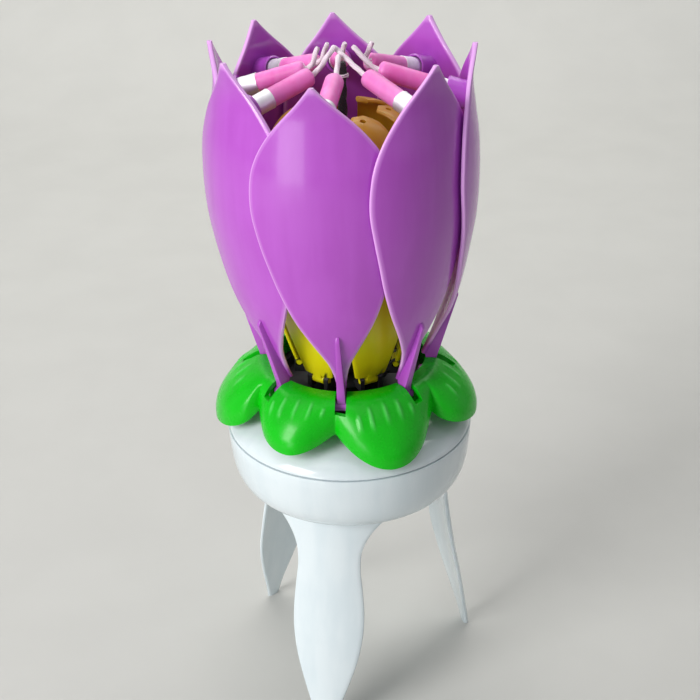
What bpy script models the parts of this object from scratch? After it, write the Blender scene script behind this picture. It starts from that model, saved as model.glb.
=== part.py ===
"""Musical birthday candle: a lotus bud of hinged petals that turns on a white drum with three legs.

Lengths in the named values and in the outlines are millimetres; MM brings each mesh to metres.
An azimuth is measured in degrees from the front, -Y, towards +X. A piece that repeats round the
flower is made once, with its local X pointing outwards, and is then turned to its azimuth.
"""

import math

import bmesh
import bpy
import numpy as np
from mathutils import Matrix, Vector

MM = 0.001

# The whole object
OUTER_PETALS = 8
INNER_PETALS = 6
FRONT_PETAL_AZIMUTH = -5.0
FRONT_INNER_AZIMUTH = 25.0
LEGS = 3
FRONT_LEG_AZIMUTH = -14.0

# Outer petals: heights above the table, radii from the flower's axis
PETAL_WALL = 1.2
PETAL_SKEW = 0.95
PETAL_SKEW_ANGLE = 22.5
PETAL_FOOT_Z = 96.5
PETAL_TIP_Z = 176.0
PETAL_RADIUS = (
    (96.5, 19.9), (105.0, 23.6), (115.0, 27.3), (129.0, 30.4), (137.0, 31.6),
    (147.0, 32.0), (156.0, 31.6), (163.0, 30.6), (169.5, 29.9), (176.0, 30.8),
)
PETAL_HALF_ANGLE = (
    (96.5, 3.4), (101.0, 4.4), (105.0, 6.4), (109.5, 10.8), (114.0, 15.2), (118.0, 18.8),
    (122.0, 21.6), (127.5, 24.6), (133.0, 26.8), (140.0, 29.4), (147.0, 31.2), (152.0, 30.8),
    (157.0, 29.0), (161.5, 25.2), (165.4, 20.0), (168.2, 15.2), (170.6, 10.4), (173.2, 5.6),
    (176.0, 1.0),
)
PETAL_ROWS = 12
PETAL_COLUMNS = 7
OUTER_HINGE_R = 21.4
OUTER_HINGE_Z = 92.6
OUTER_BARREL_R = 1.3
OUTER_BARREL_HALF = 1.7
OUTER_PIN_R = 0.65
OUTER_PIN_HALF = 3.1
LEVER_HALF = 1.0
# Height and half thickness of the rib at its foot and at its top
RIB_FOOT = (95.0, 1.06)
RIB_TOP = (114.3, 0.45)
# Each petal of the closed bud leans sideways by its own angle at the tip, and ends lower by its own drop
PETAL_SWAY = (-7.5, 1.0, -1.0, 5.0, 9.0, 4.0, 0.0, -8.0)
PETAL_DROP = (2.4, 0.0, 0.4, 0.0, 0.9, 0.3, 0.2, 0.4)

# Inner petals
INNER_WALL = 1.1
INNER_FOOT_Z = 95.6
INNER_CURVE = (
    (0.0, 13.7, 95.6), (0.09, 15.6, 101.5), (0.22, 18.0, 110.0), (0.38, 20.1, 122.0),
    (0.54, 20.8, 134.0), (0.68, 20.0, 145.0), (0.79, 18.0, 152.5), (0.88, 14.8, 157.5),
    (0.95, 11.2, 159.8), (1.0, 8.2, 160.4),
)
INNER_HALF_WIDTH = (
    (0.0, 2.9), (0.09, 4.8), (0.22, 7.7), (0.38, 9.6), (0.54, 9.9), (0.68, 9.0), (0.79, 7.4),
    (0.88, 5.4), (0.95, 3.7), (1.0, 1.8),
)
INNER_ROWS = 10
INNER_COLUMNS = 5
INNER_HINGE_R = 12.3
INNER_HINGE_Z = 94.2
INNER_BARREL_R = 1.2
INNER_BARREL_HALF = 1.6
INNER_PIN_R = 0.7
INNER_PIN_HALF = 2.8
TIP_HOLE_R = 0.7
TIP_HOLE_AT = 10.6

# Candles
CANDLE_R = 2.25
CUP_R = 3.2
CUP_BORE_R = 2.6
CUP_DEPTH = 4.6
WICK_R = 0.6
OUTER_CANDLE_TILT = 16.0
OUTER_CUP_MOUTH = (23.6, 164.9)
OUTER_CANDLE_OUT = 15.8
INNER_CANDLE_TILT = 40.0
OUTER_WICK = (-5.5, 4.8)
INNER_CUP_MOUTH = (14.6, 144.6)
INNER_CANDLE_OUT = 9.4
INNER_WICK = (-4.4, 5.6)

# Flower head
LEAF_WALL = 1.2
LEAF_LOBE_EDGE = ((19.7, 95.6), (23.0, 95.4), (26.8, 93.2), (30.6, 90.0), (33.4, 86.0), (34.6, 81.6))
LEAF_NOTCH_EDGE = ((19.7, 95.6), (22.4, 95.4), (24.4, 94.2), (25.5, 92.0), (26.0, 89.8), (26.2, 87.2))
# Lobe by lobe: azimuth of its first notch and of its peak, length, droop, and how full its two flanks are
LEAF_NOTCHES = (-7.6, 53.0, 112.4, 172.4, 232.4, 299.4)
LEAF_PEAKS = (19.0, 78.0, 142.0, 202.0, 268.0, 331.0)
LEAF_REACH = (0.92, 0.88, 0.97, 0.97, 1.07, 0.81)
LEAF_DROOP = (1.1, 0.0, 0.0, 0.0, 1.4, -1.0)
LEAF_FLANKS = ((1.05, 1.5), (0.45, 1.0), (1.0, 1.0), (1.0, 1.0), (1.0, 0.35), (1.4, 1.25))
LEAF_FLANK_COLUMNS = 4
LEAF_ROWS = 6
LEAF_SLOT = ((18.0, 27.4), (-1.35, 1.35), (92.35, 98.0))
HUB_R = 22.6
HUB_FLOOR_Z = (85.2, 86.7)
HUB_RIM_Z = 91.2
EAR_R = 1.45
EAR_IN = 2.0
EAR_OUT = 3.3
EAR_HOLE_R = 1.05
CROWN_PLATE_Z = (91.6, 92.7)
CROWN_R = 10.8
PILLAR_CIRCLE_R = 8.4
PUSHER_DISC_Z = (86.9, 88.0)
PUSHER_RIM_R = (17.4, 19.2)
PUSHER_RIM_Z = 90.6
SPARKLER_R = 4.2
SPARKLER_Z = (93.0, 147.0)
FUSE_R = 0.95
FUSE_TOP_Z = 171.0

# Base
DRUM_FLOOR_Z = 61.5
DRUM_WALL = 1.6
SEAM_Z = 77.3
LEG_WALL = 1.7
LEG_CURVE = (
    (0.0, 34.2), (4.0, 33.5), (10.0, 32.3), (16.0, 31.2), (26.0, 29.5), (34.0, 28.0),
    (42.0, 26.8), (50.0, 25.8), (56.0, 25.3), (61.2, 25.2),
)
LEG_WIDTH = (
    (0.0, 4.2), (5.0, 6.8), (13.0, 12.2), (20.0, 16.4), (28.0, 19.0), (34.0, 19.2), (41.0, 18.0),
    (47.5, 16.8), (52.0, 17.6), (55.5, 20.4), (58.5, 24.8), (61.2, 31.0),
)
LEG_ROWS = 11
LEG_COLUMNS = 5
SCREW_CIRCLE_R = 24.2
FRONT_SCREW_AZIMUTH = 46.0

# Drive and music works inside the drum
GEAR_MODULE = 0.5
SPINDLE_TEETH = 30
IDLER_TEETH = 24
PINION_TEETH = 8
DRIVE_AZIMUTH = 106.0
CELL_AZIMUTH = 226.0
BOARD_AZIMUTH = -14.0
CELL_R = 5.8
CELL_THICKNESS = 5.2
CELL_CENTRE = (15.0, 69.5)
PLATE_Z = (72.3, 73.7)
SPRING_Z = (78.4, 83.5)
SPRING_MEAN_R = 2.6
SPRING_WIRE_R = 0.22
SPRING_TURNS = 5
SPRING_POINTS_PER_TURN = 8
GAP = 0.3
FLAT_ANGLE = 0.2


def clear_scene():
    for old in list(bpy.data.objects):
        bpy.data.objects.remove(old, do_unlink=True)


def make_material(name, colour, roughness, metallic=0.0):
    material = bpy.data.materials.new(name)
    material.use_nodes = True
    shader = material.node_tree.nodes["Principled BSDF"]
    shader.inputs["Base Color"].default_value = (*colour, 1.0)
    shader.inputs["Roughness"].default_value = roughness
    shader.inputs["Metallic"].default_value = metallic
    material.diffuse_color = (*colour, 1.0)
    return material


def smooth(table, x):
    """Value at x of a smooth curve through the table's (x, value) points."""
    xs = np.array([row[0] for row in table])
    ys = np.array([row[1] for row in table])
    slopes = np.gradient(ys, xs)
    i = int(np.clip(np.searchsorted(xs, x) - 1, 0, len(xs) - 2))
    step = xs[i + 1] - xs[i]
    t = (x - xs[i]) / step
    rise = (2 * t**3 - 3 * t**2 + 1) * ys[i] + (3 * t**2 - 2 * t**3) * ys[i + 1]
    return rise + step * ((t**3 - 2 * t**2 + t) * slopes[i] + (t**3 - t**2) * slopes[i + 1])


def around(azimuth, radius, height):
    """Point at an azimuth, a radius and a height, in millimetres."""
    angle = math.radians(azimuth)
    return Vector((radius * math.sin(angle), -radius * math.cos(angle), height))


def turned(azimuth):
    """Rotation about Z that brings local X to an azimuth."""
    return Matrix.Rotation(math.radians(azimuth - 90.0), 4, "Z")


def finish_faces(bm):
    bmesh.ops.remove_doubles(bm, verts=bm.verts, dist=1e-7)
    bmesh.ops.recalc_face_normals(bm, faces=bm.faces)
    return bm


def plate(outer, inner, wraps=False):
    """Closed body between two like grids of points; wraps joins the last column to the first."""
    bm = bmesh.new()
    top, under = ([[bm.verts.new(Vector(p) * MM) for p in row] for row in grid] for grid in (outer, inner))
    rows = len(top)
    columns = len(top[0])
    for j in range(columns if wraps else columns - 1):
        k = (j + 1) % columns
        for i in range(rows - 1):
            bm.faces.new((top[i][j], top[i][k], top[i + 1][k], top[i + 1][j]))
            bm.faces.new((under[i][j], under[i + 1][j], under[i + 1][k], under[i][k]))
        bm.faces.new((top[0][j], under[0][j], under[0][k], top[0][k]))
        bm.faces.new((top[-1][j], top[-1][k], under[-1][k], under[-1][j]))
    if not wraps:
        for i in range(rows - 1):
            bm.faces.new((top[i][0], top[i + 1][0], under[i + 1][0], under[i][0]))
            bm.faces.new((top[i][-1], under[i][-1], under[i + 1][-1], top[i + 1][-1]))
    return finish_faces(bm)


def lathe(profile, steps=36):
    """Body turned about Z from a closed outline of (radius, height) points."""
    bm = bmesh.new()
    ring = [bm.verts.new((r * MM, 0.0, z * MM)) for r, z in profile]
    edges = []
    for i, vert in enumerate(ring):
        following = ring[(i + 1) % len(ring)]
        if profile[i][0] > 0 or profile[(i + 1) % len(ring)][0] > 0:
            edges.append(bm.edges.new((vert, following)))
    bmesh.ops.spin(
        bm, geom=ring + edges, cent=(0, 0, 0), axis=(0, 0, 1), dvec=(0, 0, 0),
        angle=math.tau, steps=steps, use_merge=True,
    )
    return finish_faces(bm)


def prism(outline, low, high):
    """Outline of (x, y) points, extruded from low to high along Z."""
    bm = bmesh.new()
    face = bm.faces.new([bm.verts.new((x * MM, y * MM, low * MM)) for x, y in outline])
    made = bmesh.ops.extrude_face_region(bm, geom=[face])["geom"]
    lifted = [g for g in made if isinstance(g, bmesh.types.BMVert)]
    bmesh.ops.translate(bm, verts=lifted, vec=(0, 0, (high - low) * MM))
    return finish_faces(bm)


def slab(outline, low, high):
    """Outline of (radius, height) points, extruded across the radius from low to high."""
    bm = prism(outline, low, high)
    bm.transform(Matrix(((1, 0, 0, 0), (0, 0, 1, 0), (0, 1, 0, 0), (0, 0, 0, 1))))
    return finish_faces(bm)


def box(x, y, z):
    """Box between the two limits given on each axis."""
    return prism(((x[0], y[0]), (x[1], y[0]), (x[1], y[1]), (x[0], y[1])), z[0], z[1])


def rod(radius, low, high, sides=12, at=(0.0, 0.0)):
    """Upright round rod."""
    bm = prism(circle(radius, sides), low, high)
    bm.transform(Matrix.Translation((at[0] * MM, at[1] * MM, 0)))
    return bm


def cross_rod(radius, half, at, sides=8):
    """Round rod across the radius, centred on the point (radius, height)."""
    return slab([(at[0] + x, at[1] + y) for x, y in circle(radius, sides)], -half, half)


def circle(radius, sides):
    start = math.pi / sides
    return [
        (radius * math.cos(start + math.tau * i / sides), radius * math.sin(start + math.tau * i / sides))
        for i in range(sides)
    ]


def at_azimuth(bm, azimuth):
    bm.transform(turned(azimuth))
    return bm


def lowered(bm, radius, height):
    """Moves a body so that its hinge axis, at the radius and the height, lies at the origin."""
    bm.transform(Matrix.Translation((-radius * MM, 0, -height * MM)))
    return bm


def to_mesh(bm, name):
    mesh = bpy.data.meshes.new(name)
    bm.to_mesh(mesh)
    bm.free()
    return mesh


def fused(base, joined=(), cut=(), kept=()):
    """The base body with others fused on, then those of cut taken out and only what lies in kept left."""
    helpers = []
    target = bpy.data.objects.new("base", to_mesh(base, "base"))
    bpy.context.scene.collection.objects.link(target)
    for operation, bodies in (("UNION", joined), ("DIFFERENCE", cut), ("INTERSECT", kept)):
        for bm in bodies:
            helper = bpy.data.objects.new("helper", to_mesh(bm, "helper"))
            helper.hide_render = True
            helper.display_type = "WIRE"
            bpy.context.scene.collection.objects.link(helper)
            helpers.append(helper)
            modifier = target.modifiers.new(operation.title(), "BOOLEAN")
            modifier.operation = operation
            modifier.solver = "EXACT"
            modifier.object = helper
    bpy.context.view_layer.update()
    evaluated = target.evaluated_get(bpy.context.evaluated_depsgraph_get())
    result = bmesh.new()
    result.from_mesh(evaluated.to_mesh())
    evaluated.to_mesh_clear()
    for item in [target, *helpers]:
        mesh = item.data
        bpy.data.objects.remove(item, do_unlink=True)
        bpy.data.meshes.remove(mesh)
    bmesh.ops.dissolve_limit(
        result, angle_limit=math.radians(FLAT_ANGLE), verts=result.verts, edges=result.edges
    )
    return result


def shaded(bm, name, sharp=35.0):
    mesh = to_mesh(bm, name)
    mesh.shade_smooth()
    mesh.set_sharp_from_angle(angle=math.radians(sharp))
    return mesh


def place(name, mesh, material, azimuth=None, at=(0.0, 0.0, 0.0), parent=None):
    """One named piece, at a point and turned to an azimuth; its origin is its joint's axis if it has one."""
    piece = bpy.data.objects.new(name, mesh)
    bpy.context.scene.collection.objects.link(piece)
    if not mesh.materials:
        mesh.materials.append(material)
    piece.location = Vector(at) * MM
    if azimuth is not None:
        piece.rotation_euler = (0, 0, math.radians(azimuth - 90.0))
    if parent is not None:
        piece.parent = parent
        bpy.context.view_layer.update()
        piece.matrix_parent_inverse = parent.matrix_world.inverted()
    return piece


def pivot(name, at=(0.0, 0.0, 0.0)):
    empty = bpy.data.objects.new(name, None)
    empty.location = Vector(at) * MM
    bpy.context.scene.collection.objects.link(empty)
    return empty


def petal_share(height, number):
    """Place of a height between a petal's foot and its own tip, from 0 to 1."""
    return (height - PETAL_FOOT_Z) / (PETAL_TIP_Z - PETAL_DROP[number] - PETAL_FOOT_Z)


def petal_sway(height, number):
    """Angle by which a petal leans sideways at a height."""
    return PETAL_SWAY[number] * petal_share(height, number) ** 2


def petal_radius(height, angle, number):
    """Outer surface of an outer petal; the left edge stands out and the right edge tucks in."""
    level = PETAL_FOOT_Z + (PETAL_TIP_Z - PETAL_FOOT_Z) * petal_share(height, number)
    return smooth(PETAL_RADIUS, level) - PETAL_SKEW * angle / PETAL_SKEW_ANGLE


def petal_blade(number):
    outer = []
    inner = []
    for v in np.linspace(0.0, 1.0, PETAL_ROWS):
        rise = 0.5 * v + 0.5 * math.sin(v * math.pi / 2)
        height = PETAL_FOOT_Z + (PETAL_TIP_Z - PETAL_DROP[number] - PETAL_FOOT_Z) * rise
        half = smooth(PETAL_HALF_ANGLE, PETAL_FOOT_Z + (PETAL_TIP_Z - PETAL_FOOT_Z) * rise)
        sway = petal_sway(height, number)
        outer.append([])
        inner.append([])
        for angle in np.linspace(-half, half, PETAL_COLUMNS):
            radius = petal_radius(height, angle, number)
            turn = math.radians(angle + sway)
            facing = Vector((math.cos(turn), math.sin(turn), 0))
            up = Vector((0, 0, height))
            outer[-1].append(facing * radius + up)
            inner[-1].append(facing * (radius - PETAL_WALL) + up)
    return plate(outer, inner)


def petal_rib():
    """Slender fin on a petal's lower outer side, narrow at the top; it ends at the hinge barrel."""
    bm = slab(
        (
            (27.8, 113.0), (27.2, 114.3), (26.3, 114.0), (24.2, 108.0), (21.4, 101.0), (19.5, 97.0),
            (20.3, 93.2), (21.9, 92.9), (22.4, 93.6), (22.6, 95.4),
        ),
        -1.0, 1.0,
    )
    slope = (RIB_TOP[1] - RIB_FOOT[1]) / (RIB_TOP[0] - RIB_FOOT[0])
    for vert in bm.verts:
        vert.co.y *= RIB_FOOT[1] + slope * (vert.co.z / MM - RIB_FOOT[0])
    return bm


def candle_axis(mouth, tilt):
    """Point and direction of a candle's axis: from its cup's mouth, inwards and up."""
    angle = math.radians(tilt)
    return Vector((mouth[0], 0, mouth[1])), Vector((-math.cos(angle), 0, math.sin(angle)))


def along_axis(bm, mouth, tilt):
    """Moves a body that was made along Z from the origin onto a candle's axis."""
    start, direction = candle_axis(mouth, tilt)
    bm.transform(Matrix.Translation(start * MM) @ direction.to_track_quat("Z", "X").to_matrix().to_4x4())
    return bm


def candle_cup(mouth, tilt, wall_radius, sides=8):
    """Round cup whose root is drawn out to the petal's wall, wall_radius(point)."""
    start, direction = candle_axis(mouth, tilt)
    across = Vector((0, 1, 0))
    over = direction.cross(across)
    rim = []
    root = []
    for x, y in circle(CUP_R, sides):
        offset = across * x + over * y
        reach = CUP_DEPTH
        point = start + offset - direction * reach
        while math.hypot(point.x, point.y) < wall_radius(point):
            reach += 0.05
            point = start + offset - direction * reach
        rim.append(start + offset)
        root.append(point)
    bm = bmesh.new()
    front = [bm.verts.new(p * MM) for p in rim]
    back = [bm.verts.new(p * MM) for p in root]
    bm.faces.new(front)
    bm.faces.new(back)
    for i in range(sides):
        k = (i + 1) % sides
        bm.faces.new((front[i], front[k], back[k], back[i]))
    return finish_faces(bm)


def cup_bore(mouth, tilt):
    return along_axis(prism(circle(CUP_BORE_R, 8), -CUP_DEPTH, 1.0), mouth, tilt)


def swayed(bm, number):
    """Turns a petal's cup or candle about the flower's axis with the petal's sideways lean there."""
    sway = petal_sway(OUTER_CUP_MOUTH[1], number)
    bm.transform(Matrix.Rotation(math.radians(sway), 4, "Z"))
    return bm


def outer_petal(number):
    """Petal with its rib, cup, hinge barrel, pivot pins and the short lever that holds the pusher down."""
    hinge = (OUTER_HINGE_R, OUTER_HINGE_Z)
    lever = slab(
        ((21.2, 91.7), (21.2, 93.4), (18.9, 92.5), (18.1, 92.2), (17.8, 91.6), (18.1, 91.0), (18.7, 90.9)),
        -LEVER_HALF, LEVER_HALF,
    )
    barrel = cross_rod(OUTER_BARREL_R, OUTER_BARREL_HALF, hinge)
    pins = cross_rod(OUTER_PIN_R, OUTER_PIN_HALF, hinge, 6)
    cup = candle_cup(
        OUTER_CUP_MOUTH, OUTER_CANDLE_TILT,
        lambda p: petal_radius(p.z, math.degrees(math.atan2(p.y, p.x)), number) - PETAL_WALL / 2,
    )
    bore = cup_bore(OUTER_CUP_MOUTH, OUTER_CANDLE_TILT)
    bm = fused(
        petal_blade(number), joined=(petal_rib(), barrel, pins, lever, swayed(cup, number)),
        cut=(swayed(bore, number),),
    )
    return lowered(bm, *hinge)


def outer_candle(number):
    bm = candle(OUTER_CUP_MOUTH, OUTER_CANDLE_TILT, OUTER_CANDLE_OUT, OUTER_WICK)
    return lowered(swayed(bm, number), OUTER_HINGE_R, OUTER_HINGE_Z)


def inner_candle():
    bm = candle(INNER_CUP_MOUTH, INNER_CANDLE_TILT, INNER_CANDLE_OUT, INNER_WICK)
    return lowered(bm, INNER_HINGE_R, INNER_HINGE_Z)


def inner_point(t, across):
    """Point of an inner petal's outer surface, t along its curve and across it in millimetres."""
    radius = smooth([(row[0], row[1]) for row in INNER_CURVE], t)
    height = smooth([(row[0], row[2]) for row in INNER_CURVE], t)
    bend = 1.0 / max(radius, 11.0)
    return Vector((radius - (1 - math.cos(across * bend)) / bend, math.sin(across * bend) / bend, height))


def inner_blade():
    outer = []
    inner = []
    step = 0.01
    for v in np.linspace(0.0, 1.0, INNER_ROWS):
        half = smooth(INNER_HALF_WIDTH, v)
        outer.append([])
        inner.append([])
        for u in np.linspace(-1.0, 1.0, INNER_COLUMNS):
            here = inner_point(v, half * u)
            rising = inner_point(min(v + step, 1.0), half * u) - inner_point(max(v - step, 0.0), half * u)
            sideways = inner_point(v, half * u + step) - inner_point(v, half * u - step)
            outward = sideways.cross(rising).normalized()
            outer[-1].append(here)
            inner[-1].append(here - outward * INNER_WALL)
    return plate(outer, inner)


def inner_wall_radius(point):
    """Middle of an inner petal's wall at a point's height, near the petal's middle."""
    heights = [row[2] for row in INNER_CURVE]
    radii = [row[1] for row in INNER_CURVE]
    return float(np.interp(point.z, heights, radii)) - INNER_WALL / 2


def inner_petal():
    hinge = (INNER_HINGE_R, INNER_HINGE_Z)
    stem = slab(
        ((13.0, 93.4), (13.9, 96.0), (14.4, 99.0), (13.7, 99.6), (11.9, 94.9), (12.2, 93.4)), -1.2, 1.2
    )
    barrel = cross_rod(INNER_BARREL_R, INNER_BARREL_HALF, hinge)
    pins = cross_rod(INNER_PIN_R, INNER_PIN_HALF, hinge, 6)
    cup = candle_cup(INNER_CUP_MOUTH, INNER_CANDLE_TILT, inner_wall_radius)
    bore = cup_bore(INNER_CUP_MOUTH, INNER_CANDLE_TILT)
    tip_hole = rod(TIP_HOLE_R, 157.0, 163.0, 6, (TIP_HOLE_AT, 0.0))
    bm = fused(inner_blade(), joined=(stem, barrel, pins, cup), cut=(bore, tip_hole))
    return lowered(bm, *hinge)


def candle(mouth, tilt, out, wick_reach):
    """Small candle: foil end in the cup, wax body and a wick that ends (outwards, up) from the wax."""
    wax = prism(circle(CANDLE_R, 8), -CUP_DEPTH + GAP, out)
    along_axis(wax, mouth, tilt)
    start, direction = candle_axis(mouth, tilt)
    end = start + direction * out
    tip = Vector((wick_reach[0], 0, wick_reach[1]))
    path = (end - direction, end + direction * 1.2, end + tip * 0.55, end + tip)
    return fused(wax, joined=(wick(path),))


def wick(path, sides=5):
    """Round wick through the points of a path that lies in the radial plane."""
    bm = bmesh.new()
    rings = []
    for i, point in enumerate(path):
        run = (path[min(i + 1, len(path) - 1)] - path[max(i - 1, 0)]).normalized()
        over = run.cross(Vector((0, 1, 0)))
        ring = [Vector((0, 1, 0)) * x + over * y for x, y in circle(WICK_R, sides)]
        rings.append([bm.verts.new((point + offset) * MM) for offset in ring])
    for low, high in zip(rings, rings[1:]):
        for i in range(sides):
            bm.faces.new((low[i], low[(i + 1) % sides], high[(i + 1) % sides], high[i]))
    bm.faces.new(rings[0])
    bm.faces.new(rings[-1])
    return finish_faces(bm)


def leaf_collar():
    """Green collar of drooping lobes, with a slot for each outer petal's rib."""
    last = LEAF_ROWS - 1
    lobe = [list(enumerate(axis)) for axis in zip(*LEAF_LOBE_EDGE)]
    notch = [list(enumerate(axis)) for axis in zip(*LEAF_NOTCH_EDGE)]
    outer = [[] for _ in range(LEAF_ROWS)]
    inner = [[] for _ in range(LEAF_ROWS)]
    for azimuth, number, share in leaf_columns():
        line = []
        for i in range(LEAF_ROWS):
            low = np.array([smooth(axis, i) for axis in notch])
            high = np.array([smooth(axis, i) for axis in lobe])
            droop = LEAF_DROOP[number] * share * (i / last) ** 2
            line.append(low + (high - low) * share * LEAF_REACH[number] - np.array((0.0, droop)))
        runs = np.gradient(np.array(line), axis=0)
        for i, (radius, height) in enumerate(line):
            run = runs[i] / np.linalg.norm(runs[i])
            outer[i].append(around(azimuth, radius, height))
            inner[i].append(around(azimuth, radius + run[1] * LEAF_WALL, height - run[0] * LEAF_WALL))
    slots = [at_azimuth(box(*LEAF_SLOT), azimuth) for azimuth in outer_azimuths()]
    return fused(plate(outer, inner, wraps=True), cut=slots)


def leaf_columns():
    """Azimuths round the collar, each with its lobe's number and its share of the way out to the peak."""
    ends = (*LEAF_NOTCHES[1:], LEAF_NOTCHES[0] + 360.0)
    for number, peak in enumerate(LEAF_PEAKS):
        first, second = LEAF_FLANKS[number]
        for step in range(LEAF_FLANK_COLUMNS):
            off = 1.0 - step / LEAF_FLANK_COLUMNS
            azimuth = peak + (LEAF_NOTCHES[number] - peak) * off
            yield azimuth, number, math.cos(math.pi / 2 * off) ** first
        for step in range(LEAF_FLANK_COLUMNS):
            off = step / LEAF_FLANK_COLUMNS
            azimuth = peak + (ends[number] - peak) * off
            yield azimuth, number, math.cos(math.pi / 2 * off) ** second


def outer_azimuths():
    return [FRONT_PETAL_AZIMUTH + k * 360.0 / OUTER_PETALS for k in range(OUTER_PETALS)]


def ear(hinge, radius, foot_z, low, high):
    """Hinge ear: a post with a round top about the pin."""
    arc = [
        (hinge[0] + radius * math.cos(a), hinge[1] + radius * math.sin(a))
        for a in np.radians((0, 60, 120, 180))
    ]
    return slab([(hinge[0] + radius, foot_z), *arc, (hinge[0] - radius, foot_z)], low, high)


def petal_hub():
    """Round cup of the flower head, with a pair of ears for each outer petal on its rim."""
    cup = lathe(
        (
            (4.9, HUB_FLOOR_Z[0]), (HUB_R - 0.8, HUB_FLOOR_Z[0]), (HUB_R, HUB_FLOOR_Z[0] + 0.8),
            (HUB_R, HUB_RIM_Z), (HUB_R - 1.2, HUB_RIM_Z), (HUB_R - 1.2, HUB_FLOOR_Z[1]),
            (4.9, HUB_FLOOR_Z[1]),
        ),
        24,
    )
    hinge = (OUTER_HINGE_R, OUTER_HINGE_Z)
    ears = []
    cuts = []
    for azimuth in outer_azimuths():
        for low, high in ((-EAR_OUT, -EAR_IN), (EAR_IN, EAR_OUT)):
            ears.append(at_azimuth(ear(hinge, EAR_R, HUB_FLOOR_Z[1] - 0.5, low, high), azimuth))
        cuts.append(at_azimuth(cross_rod(EAR_HOLE_R, 4.0, hinge, 6), azimuth))
        notch = box((19.4, 24.0), (-EAR_IN - 0.05, EAR_IN + 0.05), (HUB_RIM_Z - 2.0, 96.0))
        cuts.append(at_azimuth(notch, azimuth))
    return fused(cup, joined=ears, cut=cuts)


def petal_crown():
    """Inner hinge ring on three pillars, with the socket for the fountain tube."""
    disc = lathe(
        (
            (0.0, CROWN_PLATE_Z[0]), (CROWN_R, CROWN_PLATE_Z[0]), (CROWN_R, CROWN_PLATE_Z[1]),
            (5.7, CROWN_PLATE_Z[1]), (5.7, 101.0), (4.5, 101.0), (4.5, CROWN_PLATE_Z[1]),
            (0.0, CROWN_PLATE_Z[1]),
        ),
        20,
    )
    hinge = (INNER_HINGE_R, INNER_HINGE_Z)
    ears = []
    holes = []
    for k in range(INNER_PETALS):
        azimuth = FRONT_INNER_AZIMUTH + k * 360.0 / INNER_PETALS
        for low, high in ((-3.0, -1.9), (1.9, 3.0)):
            arm = slab(
                (
                    (9.0, CROWN_PLATE_Z[0] + 0.1), (13.5, CROWN_PLATE_Z[0] + 0.1), (13.5, 94.8),
                    (12.9, 95.4), (11.7, 95.4), (9.0, 92.6),
                ),
                low, high,
            )
            ears.append(at_azimuth(arm, azimuth))
        holes.append(at_azimuth(cross_rod(INNER_PIN_R + 0.4, 3.6, hinge, 6), azimuth))
    pillars = [
        rod(1.5, HUB_FLOOR_Z[1] + GAP, CROWN_PLATE_Z[0] + 0.5, 8, around(a, PILLAR_CIRCLE_R, 0)[:2])
        for a in pillar_azimuths()
    ]
    return fused(disc, joined=(*ears, *pillars), cut=holes)


def pillar_azimuths():
    return [FRONT_INNER_AZIMUTH + 30.0 + k * 120.0 for k in range(3)]


def pusher():
    """Spring-lifted disc whose rim the petal levers hold down, on a rod that reaches the switch."""
    disc = lathe(
        (
            (0.0, 66.5), (1.0, 66.5), (1.0, 83.8), (3.3, 83.8), (3.3, 84.8), (1.6, 84.8),
            (1.6, PUSHER_DISC_Z[0]), (PUSHER_RIM_R[1], PUSHER_DISC_Z[0]), (PUSHER_RIM_R[1], PUSHER_RIM_Z),
            (PUSHER_RIM_R[0], PUSHER_RIM_Z), (PUSHER_RIM_R[0], PUSHER_DISC_Z[1]), (0.0, PUSHER_DISC_Z[1]),
        ),
        20,
    )
    holes = [rod(2.0, 85.5, 89.5, 8, around(a, PILLAR_CIRCLE_R, 0)[:2]) for a in pillar_azimuths()]
    return fused(disc, cut=holes)


def spindle():
    """Hollow spindle of the flower head; the spring stands in its wide bore."""
    return lathe(
        (
            (1.3, 71.4), (2.4, 71.4), (2.4, 77.0), (4.6, 77.0), (4.6, 86.6), (3.7, 86.6),
            (3.7, 78.1), (1.3, 78.1),
        ),
        16,
    )


def spring_points():
    count = SPRING_TURNS * SPRING_POINTS_PER_TURN + 1
    for i in range(count):
        angle = math.tau * i / SPRING_POINTS_PER_TURN
        height = SPRING_Z[0] + (SPRING_Z[1] - SPRING_Z[0]) * i / (count - 1)
        yield Vector((SPRING_MEAN_R * math.cos(angle), SPRING_MEAN_R * math.sin(angle), height))


def pusher_spring(material):
    """Coil as one unbroken wire; the least gap between its turns is measured and printed."""
    points = list(spring_points())
    least = min(
        (a - b).length - 2 * SPRING_WIRE_R
        for i, a in enumerate(points)
        for b in points[i + SPRING_POINTS_PER_TURN - 2:]
    )
    print(f"pusher_spring: least gap between turns {least:.2f} mm")
    curve = bpy.data.curves.new("pusher_spring", "CURVE")
    curve.dimensions = "3D"
    spline = curve.splines.new("POLY")
    spline.points.add(len(points) - 1)
    for target, point in zip(spline.points, points):
        target.co = (*(point * MM), 1.0)
    curve.bevel_depth = SPRING_WIRE_R * MM
    curve.bevel_resolution = 1
    curve.use_fill_caps = True
    curve.materials.append(material)
    piece = bpy.data.objects.new("pusher_spring", curve)
    bpy.context.scene.collection.objects.link(piece)
    return piece


def involute(angle):
    return math.tan(angle) - angle


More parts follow.
